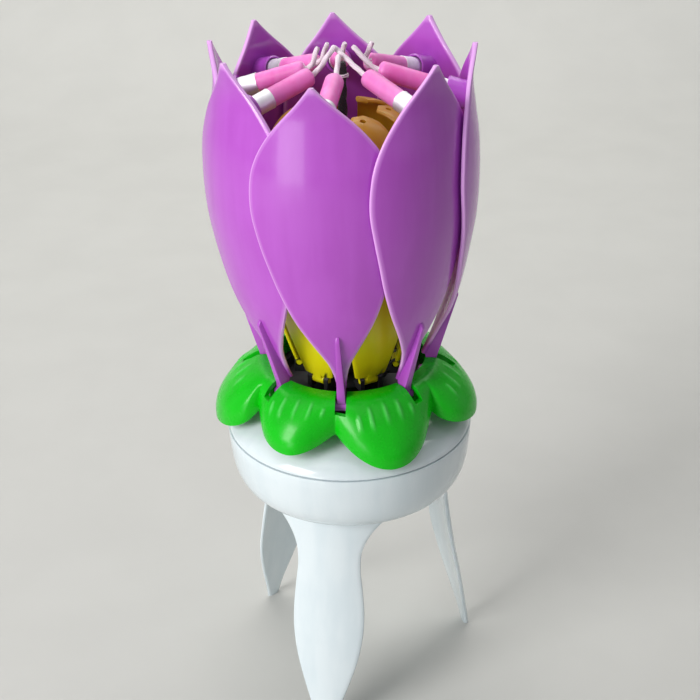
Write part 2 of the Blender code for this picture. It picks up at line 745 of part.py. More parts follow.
def gear_outline(teeth, backlash=0.16, addendum=0.42, dedendum=0.62):
    """Outline of a spur gear; the strongly curved flanks of a pinion get a point on the pitch circle too."""
    pressure = math.radians(20.0)
    pitch = GEAR_MODULE * teeth / 2
    base = pitch * math.cos(pressure)
    half = (math.pi * GEAR_MODULE / 2 - backlash) / 2 / pitch
    outline = []
    for tooth in range(teeth):
        middle = math.tau * tooth / teeth
        flank = []
        bends = (pitch,) if teeth == PINION_TEETH else ()
        for radius in (pitch - dedendum, *bends, pitch + addendum):
            lean = math.acos(min(1.0, base / max(radius, base)))
            flank.append((radius, half + involute(pressure) - involute(lean)))
        for radius, spread in flank:
            outline.append((radius * math.cos(middle - spread), radius * math.sin(middle - spread)))
        for radius, spread in reversed(flank):
            outline.append((radius * math.cos(middle + spread), radius * math.sin(middle + spread)))
    return outline


def gear(teeth, low, high, phase=0.0):
    bm = prism(gear_outline(teeth), low, high)
    bm.transform(Matrix.Rotation(phase, 4, "Z"))
    return bm


def gear_distance(first, second):
    return GEAR_MODULE * (first + second) / 2


def idler_radius():
    return gear_distance(SPINDLE_TEETH, PINION_TEETH)


def motor_radius():
    return idler_radius() + gear_distance(IDLER_TEETH, PINION_TEETH)


def spindle_gear():
    bm = gear(SPINDLE_TEETH, 77.4, 79.8, math.radians(DRIVE_AZIMUTH - 90.0))
    return fused(bm, cut=(rod(4.9, 76.0, 81.0, 16),))


def idler_gear():
    """Large wheel and small pinion in one moulding, in mesh inwards and outwards along local X."""
    half_tooth = math.pi / PINION_TEETH
    wheel = gear(IDLER_TEETH, 74.5, 76.6)
    pinion = gear(PINION_TEETH, 76.0, 80.6, math.pi + half_tooth)
    return fused(wheel, joined=(pinion,), cut=(rod(0.9, 73.0, 82.0, 10),))


def motor_pinion():
    half_tooth = math.pi / PINION_TEETH
    pinion = gear(PINION_TEETH, 74.1, 77.0, math.pi + half_tooth)
    return fused(pinion, joined=(rod(0.5, 70.2, 74.5, 8),))


def drum_profile():
    """Outer side of the drum, from the floor to the seam."""
    return (
        (26.6, DRUM_FLOOR_Z), (28.6, 62.5), (30.0, 64.5), (31.1, 68.5), (31.7, SEAM_Z - 0.15)
    )


def lower_housing():
    """Drum with its battery tray, screw bosses, sound holes and sockets for the legs."""
    outside = drum_profile()
    inside = [(r - DRUM_WALL, z) for r, z in outside[2:]]
    floor = DRUM_FLOOR_Z + DRUM_WALL
    shell = lathe((*((0.0, DRUM_FLOOR_Z), *outside), *reversed(inside), (26.8, floor), (0.0, floor)), 36)
    tray = at_azimuth(box((7.6, 22.4), (-10.3, 10.3), (DRUM_FLOOR_Z + 0.4, 72.0)), CELL_AZIMUTH)
    bosses = [
        rod(3.3, DRUM_FLOOR_Z + 0.4, 73.0, 10, around(a, SCREW_CIRCLE_R, 0)[:2]) for a in screw_azimuths()
    ]
    cuts = [at_azimuth(box((8.8, 21.2), (-9.1, 9.1), (60.0, 75.0)), CELL_AZIMUTH)]
    for azimuth in screw_azimuths():
        centre = around(azimuth, SCREW_CIRCLE_R, 0)[:2]
        cuts.append(rod(1.5, 60.0, 75.0, 8, centre))
        cuts.append(rod(2.5, 60.0, 63.6, 8, centre))
    for azimuth in leg_azimuths():
        cuts.append(at_azimuth(box((24.2, 26.2), (-2.9, 2.9), (60.0, 64.0)), azimuth))
    for k in range(7):
        radius = 0.0 if k == 0 else 4.4
        cuts.append(rod(0.9, 60.0, 64.0, 6, around(60.0 * k, radius, 0)[:2]))
    return fused(shell, joined=(tray, *bosses), cut=cuts)


def screw_azimuths():
    return [FRONT_SCREW_AZIMUTH + k * 120.0 for k in range(3)]


def leg_azimuths():
    return [FRONT_LEG_AZIMUTH + k * 360.0 / LEGS for k in range(LEGS)]


def cover_profile():
    """Outer side of the domed cover, from the seam to the bush."""
    return (
        (31.4, SEAM_Z + 0.15), (30.9, 78.6), (29.1, 80.4), (25.9, 81.9), (20.5, 83.4), (6.4, 84.3),
    )


def top_cover():
    """Domed cover with the spindle's bush and three screw posts under it."""
    outside = cover_profile()
    under = [
        (29.8, SEAM_Z + 0.15), (29.1, 78.2), (26.8, 79.9), (20.0, 81.9), (6.4, 82.9),
    ]
    shell = lathe((*outside, (4.95, 84.3), (4.95, 80.4), (6.4, 80.4), *reversed(under)), 32)
    core = lathe(
        ((0.0, 70.0), (29.4, 70.0), (29.4, 78.6), (27.6, 80.3), (20.2, 82.6), (0.0, 83.2)), 32
    )
    posts = [rod(2.4, 73.3, 84.0, 10, around(a, SCREW_CIRCLE_R, 0)[:2]) for a in screw_azimuths()]
    trimmed = [fused(post, kept=(core.copy(),)) for post in posts]
    core.free()
    holes = [rod(1.5, 72.0, 79.4, 8, around(a, SCREW_CIRCLE_R, 0)[:2]) for a in screw_azimuths()]
    return fused(shell, joined=trimmed, cut=holes)


def leg():
    """Blade leg: flared at the drum, drawn in to a neck, full in the calf and narrow at the foot."""
    outer = []
    inner = []
    for v in np.linspace(0.0, 1.0, LEG_ROWS):
        height = LEG_CURVE[-1][0] * (0.75 * v + 0.25 * math.sin(v * math.pi / 2))
        middle = smooth(LEG_CURVE, height)
        half = smooth(LEG_WIDTH, height) / 2
        outer.append([])
        inner.append([])
        for u in np.linspace(-1.0, 1.0, LEG_COLUMNS):
            angle = half * u / middle
            facing = Vector((math.cos(angle), math.sin(angle), 0))
            wall = LEG_WALL * (1.0 - 0.35 * u * u)
            outer[-1].append(facing * (middle + wall / 2) + Vector((0, 0, height)))
            inner[-1].append(facing * (middle - wall / 2) + Vector((0, 0, height)))
    peg = box((24.5, 25.9), (-2.6, 2.6), (60.2, 62.9))
    return fused(plate(outer, inner), joined=(peg,))


def chassis_plate():
    """Gear plate on four feet: it carries the motor, the idler's axle and the foot of the spindle."""
    strip = box((-5.0, 23.8), (-7.0, 7.0), PLATE_Z)
    corners = ((9.6, -5.5), (9.6, 5.5), (21.6, -5.6), (21.6, 5.6))
    feet = [rod(1.4, 63.4, PLATE_Z[0] + 0.4, 8, at) for at in corners]
    holes = (
        rod(2.7, 71.0, 75.0, 20),
        rod(0.9, 71.0, 75.0, 10, (idler_radius(), 0.0)),
        rod(1.3, 71.0, 75.0, 10, (motor_radius(), 0.0)),
    )
    return fused(strip, joined=feet, cut=holes)


def motor():
    can = lathe(((0.0, 63.6), (4.6, 63.6), (5.0, 64.0), (5.0, 71.7), (4.7, 72.0), (0.0, 72.0)), 16)
    can.transform(Matrix.Translation((motor_radius() * MM, 0, 0)))
    return fused(can, cut=(rod(0.8, 69.8, 73.0, 8, (motor_radius(), 0.0)),))


def button_cell(offset):
    outline = [(CELL_CENTRE[0] + x, CELL_CENTRE[1] + y) for x, y in circle(CELL_R, 20)]
    return slab(outline, offset - CELL_THICKNESS / 2, offset + CELL_THICKNESS / 2)


def circuit_board():
    board = box((10.2, 21.6), (-8.0, 8.0), (63.5, 64.5))
    blob = lathe(((0.0, 64.2), (2.8, 64.2), (2.6, 65.0), (1.6, 65.4), (0.0, 65.5)), 16)
    blob.transform(Matrix.Translation((17.0 * MM, 2.5 * MM, 0)))
    return fused(board, joined=(blob,))


def switch_leaf():
    """Contact strip that stands on the board and reaches under the pusher's rod."""
    return slab(
        (
            (-1.6, 65.9), (-1.6, 66.2), (8.0, 66.2), (11.0, 65.1), (13.0, 65.1), (13.0, 64.8),
            (10.9, 64.8), (7.9, 65.9),
        ),
        -1.2, 1.2,
    )


def fountain_tube():
    return lathe(
        (
            (0.0, SPARKLER_Z[0]), (SPARKLER_R, SPARKLER_Z[0]), (SPARKLER_R, SPARKLER_Z[1] - 1.2),
            (SPARKLER_R - 0.8, SPARKLER_Z[1]), (1.5, SPARKLER_Z[1]), (1.25, SPARKLER_Z[1] - 3.0),
            (0.0, SPARKLER_Z[1] - 3.0),
        ),
        16,
    )


def screw():
    """Cover screw, head down."""
    return lathe(
        (
            (0.0, 61.9), (1.9, 61.9), (2.1, 62.3), (2.1, 63.2), (1.1, 63.3), (1.1, 78.6),
            (0.6, 79.1), (0.0, 79.1),
        ),
        8,
    )


def build_base(colours):
    white = colours["white"]
    base = pivot("base_frame")
    works = DRIVE_AZIMUTH
    tray = CELL_AZIMUTH
    place("lower_housing", shaded(lower_housing(), "lower_housing"), white, parent=base)
    place("top_cover", shaded(top_cover(), "top_cover"), white, parent=base)
    door = box((9.1, 20.9), (-8.8, 8.8), (DRUM_FLOOR_Z, DRUM_FLOOR_Z + DRUM_WALL))
    place("battery_door", shaded(door, "battery_door"), white, tray, parent=base)
    leg_mesh = shaded(leg(), "leg")
    for number, azimuth in enumerate(leg_azimuths(), 1):
        place(f"leg_{number}", leg_mesh, white, azimuth, parent=base)
    screw_mesh = shaded(screw(), "cover_screw")
    for number, azimuth in enumerate(screw_azimuths(), 1):
        place(f"cover_screw_{number}", screw_mesh, colours["steel"], azimuth,
              around(azimuth, SCREW_CIRCLE_R, 0), base)
    for number, offset in enumerate((-5.5, 0.0, 5.5), 1):
        place(f"button_cell_{number}", shaded(button_cell(offset), "button_cell"), colours["steel"], tray,
              parent=base)
    for name, side in (("contact_plus", 1), ("contact_minus", -1)):
        strip = box((11.0, 19.0), sorted((8.4 * side, 8.8 * side)), (64.6, 74.4))
        place(name, shaded(strip, name), colours["brass"], tray, parent=base)
    place("circuit_board", shaded(circuit_board(), "circuit_board"), colours["board"], BOARD_AZIMUTH,
          parent=base)
    place("switch_leaf", shaded(switch_leaf(), "switch_leaf"), colours["brass"], BOARD_AZIMUTH, parent=base)
    sounder = rod(7.2, 63.4, 63.8, 20)
    place("sounder", shaded(sounder, "sounder"), colours["brass"], parent=base)
    place("chassis_plate", shaded(chassis_plate(), "chassis_plate"), colours["black"], works, parent=base)
    place("motor", shaded(motor(), "motor"), colours["steel"], works, parent=base)
    axle = rod(0.6, 72.6, 81.4, 10, (idler_radius(), 0.0))
    place("idler_axle", shaded(axle, "idler_axle"), colours["steel"], works, parent=base)


def build_drive(colours):
    """Motor pinion and idler, each with its origin on its own axis."""
    place("idler_gear", shaded(idler_gear(), "idler_gear"), colours["works"], DRIVE_AZIMUTH,
          around(DRIVE_AZIMUTH, idler_radius(), 0))
    place("motor_pinion", shaded(motor_pinion(), "motor_pinion"), colours["works"], DRIVE_AZIMUTH,
          around(DRIVE_AZIMUTH, motor_radius(), 0))


def build_head(colours):
    """Pieces that turn together on the spindle."""
    head = pivot("flower_turn_axis")
    place("spindle", shaded(spindle(), "spindle"), colours["works"], parent=head)
    place("spindle_gear", shaded(spindle_gear(), "spindle_gear"), colours["works"], parent=head)
    place("petal_hub", shaded(petal_hub(), "petal_hub"), colours["green"], parent=head)
    place("leaf_collar", shaded(leaf_collar(), "leaf_collar"), colours["green"], parent=head)
    place("petal_crown", shaded(petal_crown(), "petal_crown"), colours["yellow"], parent=head)
    place("fountain_tube", shaded(fountain_tube(), "fountain_tube"), colours["dark"], parent=head)
    fuse = rod(FUSE_R, SPARKLER_Z[1] - 2.7, FUSE_TOP_Z, 8)
    place("fountain_fuse", shaded(fuse, "fountain_fuse"), colours["dark"], parent=head)
    place("pusher", shaded(pusher(), "pusher"), colours["works"], parent=head)
    spring = pusher_spring(colours["steel"])
    spring.parent = head
    return head


def build_petals(colours, head):
    """Each petal and its candle share an origin on the petal's hinge axis."""
    for number, azimuth in enumerate(outer_azimuths()):
        centre = around(azimuth, OUTER_HINGE_R, OUTER_HINGE_Z)
        petal = f"outer_petal_{number + 1}"
        wax = f"outer_candle_{number + 1}"
        place(petal, shaded(outer_petal(number), petal), colours["purple"], azimuth, centre, head)
        place(wax, shaded(outer_candle(number), wax), colours["pink"], azimuth, centre, head)
    petal_mesh = shaded(inner_petal(), "inner_petal")
    candle_mesh = shaded(inner_candle(), "inner_candle")
    for number in range(INNER_PETALS):
        azimuth = FRONT_INNER_AZIMUTH + number * 360.0 / INNER_PETALS
        centre = around(azimuth, INNER_HINGE_R, INNER_HINGE_Z)
        place(f"inner_petal_{number + 1}", petal_mesh, colours["yellow"], azimuth, centre, head)
        place(f"inner_candle_{number + 1}", candle_mesh, colours["pink"], azimuth, centre, head)


def main():
    clear_scene()
    colours = {
        "purple": make_material("petal_purple", (0.42, 0.13, 0.66), 0.25),
        "yellow": make_material("petal_yellow", (0.62, 0.52, 0.01), 0.35),
        "green": make_material("leaf_green", (0.01, 0.50, 0.02), 0.22),
        "white": make_material("gloss_white", (0.80, 0.85, 0.88), 0.18),
        "pink": make_material("candle_pink", (0.90, 0.18, 0.50), 0.4),
        "dark": make_material("fountain_dark", (0.05, 0.03, 0.04), 0.6),
        "works": make_material("works_natural", (0.75, 0.74, 0.68), 0.4),
        "black": make_material("works_black", (0.03, 0.03, 0.03), 0.45),
        "board": make_material("board_green", (0.03, 0.18, 0.07), 0.5),
        "brass": make_material("contact_brass", (0.70, 0.55, 0.25), 0.3, 1.0),
        "steel": make_material("plated_steel", (0.62, 0.62, 0.63), 0.28, 1.0),
    }
    build_base(colours)
    build_drive(colours)
    head = build_head(colours)
    build_petals(colours, head)


main()
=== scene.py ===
"""Musical birthday candle: the finished look of a lotus bud that turns on a white drum with three legs.

Lengths in the named values and in the outlines are millimetres; MM brings each mesh to metres.
An azimuth is measured in degrees from the front, -Y, towards +X.
"""

import functools
import math

import bmesh
import bpy
import numpy as np
from bpy.props import FloatProperty, FloatVectorProperty, IntProperty, PointerProperty
from mathutils import Matrix, Vector, noise


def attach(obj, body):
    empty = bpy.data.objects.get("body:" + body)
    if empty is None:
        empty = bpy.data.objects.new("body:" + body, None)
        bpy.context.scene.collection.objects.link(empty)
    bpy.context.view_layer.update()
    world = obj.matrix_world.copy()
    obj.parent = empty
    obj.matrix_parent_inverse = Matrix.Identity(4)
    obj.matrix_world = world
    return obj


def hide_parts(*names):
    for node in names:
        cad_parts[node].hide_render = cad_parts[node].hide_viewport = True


bl_info = {
    "name": "Musical birthday candle",
    "version": (1, 0, 0),
    "blender": (4, 5, 0),
    "location": "3D View > Sidebar > Candle",
    "description": "Petals, candles, leaf collar, drum and stage of a musical birthday candle",
    "category": "Object",
}

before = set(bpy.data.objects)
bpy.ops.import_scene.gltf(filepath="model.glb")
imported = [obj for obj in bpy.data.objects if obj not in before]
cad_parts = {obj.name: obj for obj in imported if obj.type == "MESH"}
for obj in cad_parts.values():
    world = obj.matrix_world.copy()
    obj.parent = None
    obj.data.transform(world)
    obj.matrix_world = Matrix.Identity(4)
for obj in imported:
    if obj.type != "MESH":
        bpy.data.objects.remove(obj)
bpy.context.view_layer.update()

MM = 0.001

# Counts and azimuths
OUTER_PETALS = 8
INNER_PETALS = 6
LEGS = 3
SCREWS = 3
FRONT_PETAL_AZIMUTH = -5.0
FRONT_INNER_AZIMUTH = 25.0
FRONT_LEG_AZIMUTH = -14.0
FRONT_SCREW_AZIMUTH = 46.0
CELL_AZIMUTH = 226.0

# Outer petals: heights above the table, radii from the flower's axis
PETAL_FOOT_Z = 96.5
PETAL_TIP_Z = 176.0
# Petal by petal: degrees that the tip leans aside, and how much lower than the highest it ends
PETAL_SWAY = (-7.5, 1.0, -1.0, 5.0, 9.0, 4.0, 0.0, -8.0)
PETAL_DROP = (2.4, 0.0, 0.4, 0.0, 0.9, 0.3, 0.2, 0.4)
# The right edge tucks in by PETAL_SKEW at PETAL_SKEW_ANGLE, and the left edge stands out as much
PETAL_SKEW = 0.95
PETAL_SKEW_ANGLE = 22.5
PETAL_RADIUS = (
    (96.5, 19.9), (105.0, 23.6), (115.0, 27.3), (129.0, 30.4), (137.0, 31.6),
    (147.0, 32.0), (156.0, 31.6), (163.0, 30.6), (169.5, 29.9), (176.0, 30.8),
)
PETAL_HALF_ANGLE = (
    (96.5, 3.4), (101.0, 4.4), (105.0, 6.4), (109.5, 10.8), (114.0, 15.2), (118.0, 18.8),
    (122.0, 21.6), (127.5, 24.6), (133.0, 26.8), (140.0, 29.4), (147.0, 31.2), (152.0, 30.8),
    (157.0, 29.0), (161.5, 25.2), (165.4, 20.0), (168.2, 15.2), (170.6, 10.4), (173.2, 5.6),
    (176.0, 1.0),
)
PETAL_ROWS = 46
PETAL_COLUMNS = 18
# Even and eased share of the rows' spacing, which closes up towards the tip
PETAL_ROW_SPREAD = (0.45, 0.55)
RIB_OUTLINE = (
    (27.8, 113.0), (27.2, 114.3), (26.3, 114.0), (24.2, 108.0), (21.4, 101.0), (19.5, 97.0),
    (20.3, 93.2), (21.9, 92.9), (22.4, 93.6), (22.6, 95.4),
)
# Height and half thickness of the rib at its foot and at its top
RIB_FOOT = (95.0, 1.06)
RIB_TOP = (114.3, 0.45)
RIB_ROUND = 0.22
LEVER_OUTLINE = (
    (21.2, 91.7), (21.2, 93.4), (18.9, 92.5), (18.1, 92.2), (17.8, 91.6), (18.1, 91.0), (18.7, 90.9),
)
LEVER_HALF = 1.0
LEVER_ROUND = 0.15
# Radius and height of the hinge's axis; radius and half length of its barrel and of its pins
OUTER_HINGE = (21.4, 92.6)
OUTER_BARREL = (1.3, 1.7)
OUTER_PIN = (0.65, 3.1)
# Painted highlight along the petals' thin edges, where light catches the rim and shines through it: where it
# starts above the foot, its depth under the face, its width, how it runs over the tip, and how softly it
# fades
EDGE_START = 4.0
EDGE_DEPTH = 3.2
EDGE_WIDTH = 0.75
EDGE_TIP = (0.35, 0.15)
EDGE_FADE = 0.8

# Inner petals: share of the way up, radius, height
INNER_WALL = 1.1
INNER_CURVE = (
    (0.0, 13.7, 95.6), (0.09, 15.6, 101.5), (0.22, 18.0, 110.0), (0.38, 20.1, 122.0),
    (0.54, 20.8, 134.0), (0.68, 20.0, 145.0), (0.79, 18.0, 152.5), (0.88, 14.8, 157.5),
    (0.95, 11.2, 159.8), (1.0, 8.2, 160.4),
)
INNER_HALF_WIDTH = (
    (0.0, 4.4), (0.09, 5.9), (0.22, 7.9), (0.38, 9.6), (0.54, 9.9), (0.68, 9.0), (0.79, 7.4),
    (0.88, 5.4), (0.95, 3.7), (1.0, 1.8),
)
INNER_BEND_LEAST = 11.0
INNER_ROWS = 34
INNER_COLUMNS = 12
INNER_HINGE = (12.3, 94.2)
INNER_BARREL = (1.2, 1.6)
INNER_PIN = (0.7, 2.8)
STEM_OUTLINE = ((13.0, 93.4), (13.9, 96.0), (14.4, 99.0), (13.7, 99.6), (11.9, 94.9), (12.2, 93.4))
STEM_HALF = 1.2
STEM_ROUND = 0.15
TIP_HOLE_R = 0.7
TIP_HOLE_AT = (10.6, 0.0)
TIP_HOLE_Z = (157.0, 163.0)
# Heights over which the inner petals turn to the painted tip colour: warm light bounced from the purple
# petals, darker than the yellow below
TIP_BOUNCE_Z = (134.0, 156.0)

# Cups: radius and height of the mouth, and tilt
OUTER_CUP = ((23.6, 164.9), 16.0)
INNER_CUP = ((14.6, 144.6), 40.0)
CUP_R = 3.2
CUP_RIM = 0.28
CUP_FLARE = 0.35
CUP_BORE_R = 2.6
CUP_DEPTH = 4.6
# Root: least depth, and how much wider it is at heights over its end
CUP_ROOT_LEAST = 3.0
CUP_ROOT_CURVE = ((0.0, 1.6), (0.12, 0.8), (CUP_FLARE, 0.0))
CUP_ROOT_STEP = 0.05
CUP_SIDES = 28

# Candles: how far the wax and the foil stand out of the cup
OUTER_CANDLE_OUT = 15.8
INNER_CANDLE_OUT = 9.4
OUTER_FOIL_OUT = 4.3
INNER_FOIL_OUT = 2.2
CANDLE_SIDES = 28
FOIL_CRINKLE = 0.09
WAX_UNEVEN = 0.03
OUTER_SEED = 0.0
INNER_SEED = 90.0
SEED_STEP = 7.0
# Wick ends of the outer candles: place about the flower's axis and height
WICK_TIPS = (
    (-0.7, -2.4, 173.2), (-1.8, 0.4, 174.4), (2.5, 1.5, 174.2), (7.1, 4.0, 174.4),
    (0.8, 3.4, 174.4), (-3.2, 4.6, 174.2), (-5.4, 2.0, 174.0), (-1.5, -1.0, 174.9),
)
INNER_WICK = (-1.2, 0.0, 5.2)

# Leaf collar: profiles of a lobe's middle and of a notch, as radius and height from hub to rim
LEAF_LOBE_EDGE = ((19.7, 95.6), (23.0, 95.4), (26.8, 93.2), (30.6, 90.0), (33.4, 86.0), (34.6, 81.6))
LEAF_NOTCH_EDGE = ((19.7, 95.6), (22.4, 95.4), (24.4, 94.2), (25.5, 92.0), (26.0, 89.8), (26.2, 87.2))
# Lobe by lobe: azimuth of its first notch and of its peak, length, droop, and how full its two flanks are
LEAF_NOTCHES = (-7.6, 53.0, 112.4, 172.4, 232.4, 299.4)
LEAF_PEAKS = (19.0, 78.0, 142.0, 202.0, 268.0, 331.0)
LEAF_REACH = (0.92, 0.88, 0.97, 0.97, 1.07, 0.81)
LEAF_DROOP = (1.1, 0.0, 0.0, 0.0, 1.4, -1.0)
LEAF_FLANKS = ((1.05, 1.5), (0.45, 1.0), (1.0, 1.0), (1.0, 1.0), (1.0, 0.35), (1.4, 1.25))
LEAF_ENDS = (*LEAF_NOTCHES[1:], LEAF_NOTCHES[0] + 360.0)
LEAF_FLANK_COLUMNS = 36
LEAF_ROWS = 26
# Thickness shares of the last two rows, which round the rim
LEAF_RIM = (0.75, 0.4)
LEAF_SLOT = ((18.0, 27.4), (-1.35, 1.35), (92.35, 98.0))
# Raised veins of a lobe: angle from its peak, and where the vein starts and ends between hub and rim
LEAF_VEINS = (
    (-15.0, 0.44, 0.66), (-8.4, 0.33, 0.61), (0.0, 0.30, 0.54), (7.8, 0.30, 0.54), (15.4, 0.40, 0.57),
)
VEIN_HALF = 1.2
VEIN_ENDS = (0.05, 0.07)
VEIN_FAN = (1.15, 0.4)

# Drum: its side as radius and height over its floor, and the cover's as radius and height over the seam
DRUM_FLOOR_Z = 61.5
DRUM_WALL = 1.6
DRUM_SIDE = (
    (26.6, 0.0), (27.4, 0.12), (28.4, 0.7), (29.2, 1.7), (29.9, 3.0), (30.5, 4.6), (31.0, 6.8), (31.3, 9.2),
    (31.55, 12.2),
)
SEAM_Z = 77.3
SEAM_HALF_GAP = 0.15
COVER_SIDE = (
    (31.3, 0.0), (31.42, 0.18), (31.3, 0.7), (30.9, 1.35), (30.2, 2.1), (29.2, 2.95), (27.8, 3.75),
    (26.0, 4.5), (23.4, 5.2), (20.5, 5.8), (16.0, 6.35), (11.0, 6.7),
)
COVER_UNDERSIDE = ((29.1, 78.4), (26.8, 80.2), (20.0, 81.9), (6.4, 82.9))
COVER_COLLAR = ((6.4, 84.3), (4.95, 84.3), (4.95, 80.4), (6.4, 80.4))
BELOW_Z = 60.0
# Tray and bosses rise from inside the floor, SUNK over its underside
SUNK = 0.4
TRAY = ((7.6, 22.4), (-10.3, 10.3), (DRUM_FLOOR_Z + SUNK, 72.0))
TRAY_HOLLOW = ((8.8, 21.2), (-9.1, 9.1), (BELOW_Z, 75.0))
SCREW_CIRCLE_R = 24.2
BOSS_R = 3.3
BOSS_TOP_Z = 73.0
# Screw's bore and recess: radius, top, facets
SCREW_BORES = ((1.5, 75.0, 20), (2.5, 63.6, 24))
LEG_SOCKET = ((24.2, 26.2), (-2.9, 2.9), (BELOW_Z, 64.0))
# Sound holes, one in the middle: radius, circle, top
SOUND_HOLES = 7
SOUND_HOLE_R = 0.9
SOUND_CIRCLE_R = 4.4
SOUND_TOP_Z = 64.0

# Legs: height and radius, height and width
LEG_CURVE = (
    (0.0, 34.2), (4.0, 33.5), (10.0, 32.3), (16.0, 31.2), (26.0, 29.5), (34.0, 28.0),
    (42.0, 26.8), (50.0, 25.8), (56.0, 25.3), (61.2, 25.2),
)
LEG_WIDTH = (
    (0.0, 4.2), (5.0, 6.8), (13.0, 12.2), (20.0, 16.4), (28.0, 19.0), (34.0, 19.2), (41.0, 18.0),
    (47.5, 16.8), (52.0, 17.6), (55.5, 20.4), (58.5, 24.8), (61.2, 31.0),
)
LEG_ROWS = 44
LEG_COLUMNS = 12
LEG_ROW_SPREAD = (0.8, 0.2)
LEG_EDGE_THINNING = 0.42

# Fountain, fuse and thread
FOUNTAIN_R = 4.2
FOUNTAIN_Z = (93.0, 147.0)
FOUNTAIN_SIDES = 48
FOUNTAIN_ROWS = 70
# Paper seam: turns up the tube, its share of a turn and its depth
PAPER_SEAM = (9, 0.06, 0.12)
# Depth of the rounded mouth, then radius and depth under the top in the mouth and the hollow
MOUTH_DEPTH = 1.4
FOUNTAIN_MOUTH = (
    (FOUNTAIN_R - 0.1, 0.7), (FOUNTAIN_R - 0.6, 0.1), (FOUNTAIN_R - 1.2, 0.0), (1.6, 0.1), (1.4, 1.2),
    (1.3, 3.0),
)
# The fuse is drawn a little thick, so that its dark coating also covers painted shade beside it.
FUSE_R = 1.15
FUSE_TOP_Z = 171.0
THREAD_R = 0.2
THREAD_LIFT = 0.22
THREAD_Z = 167.4
THREAD_RISE = 0.9
THREAD_TURNS = 2.0
THREAD_STEPS = 60

# Round edges: inset from a blade's edge and the dense band beside it, each with its largest share of the half
# width; directions of the points round the edge; angle over which an edge counts as sharp
ROUND_INSET = (0.6, 0.45)
ROUND_BAND = (1.3, 0.7)
ROUND_LEANS = (45, 90, 135)
SHARP_ANGLE = 40.0
PIN_SIDES = 20

# Yarn: length of a step, depth of the grooves and thickness of the ends as shares of the radius
STRAND_STEP = 0.45
STRAND_GROOVE = 0.1
STRAND_END = 0.7

# Finishes
COAT_ROUGHNESS = 0.1
GLOW_RADIUS = (1.0, 0.6, 1.0)
GLOW_DEPTH = 0.0012

# Stage: floor in millimetres, lamps and camera in metres, and the lens for a 36 mm sensor
FLOOR_HALF = 1500.0
FLOOR_BACK = 700.0
FLOOR_SWEEP = 250.0
FLOOR_STEPS = 12
# Lamp by lamp: place, aim, sides of its face, colour
LAMPS = {
    "key": ((-0.66, -0.54, 0.50), (0.0, 0.0, 0.11), (0.42, 0.56), (1.0, 0.99, 0.98)),
    "top": ((-0.05, 0.0, 0.75), (0.0, 0.0, 0.11), (0.6, 0.6), (1.0, 1.0, 1.0)),
    "window": ((-0.41, -0.60, 0.11), (-0.01, -0.03, 0.15), (0.28, 0.19), (0.97, 0.98, 1.0)),
    "back": ((0.0, 0.45, 0.7), (0.0, 0.5, 0.0), (0.9, 0.5), (1.0, 0.99, 0.97)),
}
ROOM_COLOUR = (0.95, 0.97, 1.0, 1.0)
CAMERA_AT = (0.0, -0.2873, 0.2495)
CAMERA_AIM = (0.0005, 0.0, 0.0965)
CAMERA_ROLL = -1.2
CAMERA_LENS = 65.52


def srgb(red, green, blue):
    """Scene-linear colour of an 8-bit sRGB one."""
    shares = (value / 255.0 for value in (red, green, blue))
    return tuple(share / 12.92 if share <= 0.04045 else ((share + 0.055) / 1.055) ** 2.4 for share in shares)


def colour_property(name, description, default):
    return FloatVectorProperty(
        name=name, description=description, subtype="COLOR", size=3, min=0.0, max=1.0, default=default,
    )


def length_property(name, description, default, low, high):
    return FloatProperty(
        name=name, description=description, default=default * MM, min=low * MM, max=high * MM,
        subtype="DISTANCE", unit="LENGTH",
    )


def power_property(name, description, default):
    return FloatProperty(name=name, description=description, default=default, min=0.0, max=50.0, unit="POWER")


def share_property(name, description, default):
    return FloatProperty(
        name=name, description=description, default=default, min=0.0, max=1.0, subtype="FACTOR",
    )


class CANDLE_PG_flower(bpy.types.PropertyGroup):
    """Sizes and colours of the flower."""

    petal_wall: length_property("Petal wall", "Thickness of an outer petal", 1.2, 0.8, 2.0)
    leaf_wall: length_property("Leaf wall", "Thickness of the leaf collar", 1.2, 0.8, 2.0)
    vein_height: length_property("Vein height", "How far the leaf's veins stand up", 0.28, 0.0, 0.6)
    petal_colour: colour_property("Petal", "Outer petals' plastic", srgb(187, 86, 205))
    petal_deep: colour_property("Petal shade", "Deeper tone in the petals' plastic", srgb(168, 60, 184))
    # Painted highlight: the paler colour of the petals' thin, lit edges
    petal_edge_highlight: colour_property("Petal edge", "Thin edges of the petals", srgb(244, 184, 252))
    yellow: colour_property("Inner petal", "Inner petals' plastic", srgb(236, 232, 20))
    yellow_deep: colour_property("Inner petal shade", "Deeper tone of the inner petals", srgb(220, 204, 12))
    # Painted light: the warm, darker tone that light bounced from the purple petals gives the inner tips
    yellow_tip_bounce: colour_property("Inner petal tip", "Warm tone at the inner petals' tips", srgb(222, 150, 48))
    leaf: colour_property("Leaf", "Leaf collar's plastic", srgb(6, 196, 14))
    leaf_deep: colour_property("Leaf shade", "Deeper tone of the leaf", srgb(0, 172, 8))
    # Painted highlight on the raised veins
    leaf_vein_highlight: colour_property("Leaf vein", "Paler tone of the raised veins", srgb(120, 240, 130))


class CANDLE_PG_candles(bpy.types.PropertyGroup):
    """Sizes and colours of the small candles."""

    radius: length_property("Candle radius", "Radius of a small candle", 2.25, 1.8, 2.5)
    wick_radius: length_property("Wick radius", "Radius of a wick", 0.66, 0.4, 0.8)
    wax: colour_property("Wax", "Candle wax", srgb(252, 148, 218))
    wax_deep: colour_property("Wax shade", "Deeper tone in the wax", srgb(244, 104, 194))
    foil: colour_property("Foil", "Foil round the candle's end", srgb(244, 242, 246))
    wick: colour_property("Wick", "Cotton wick", srgb(252, 240, 248))
    # Painted shade in the grooves between the wick's strands
    wick_groove_shade: colour_property("Wick shade", "Tone between the wick's strands", srgb(248, 226, 240))


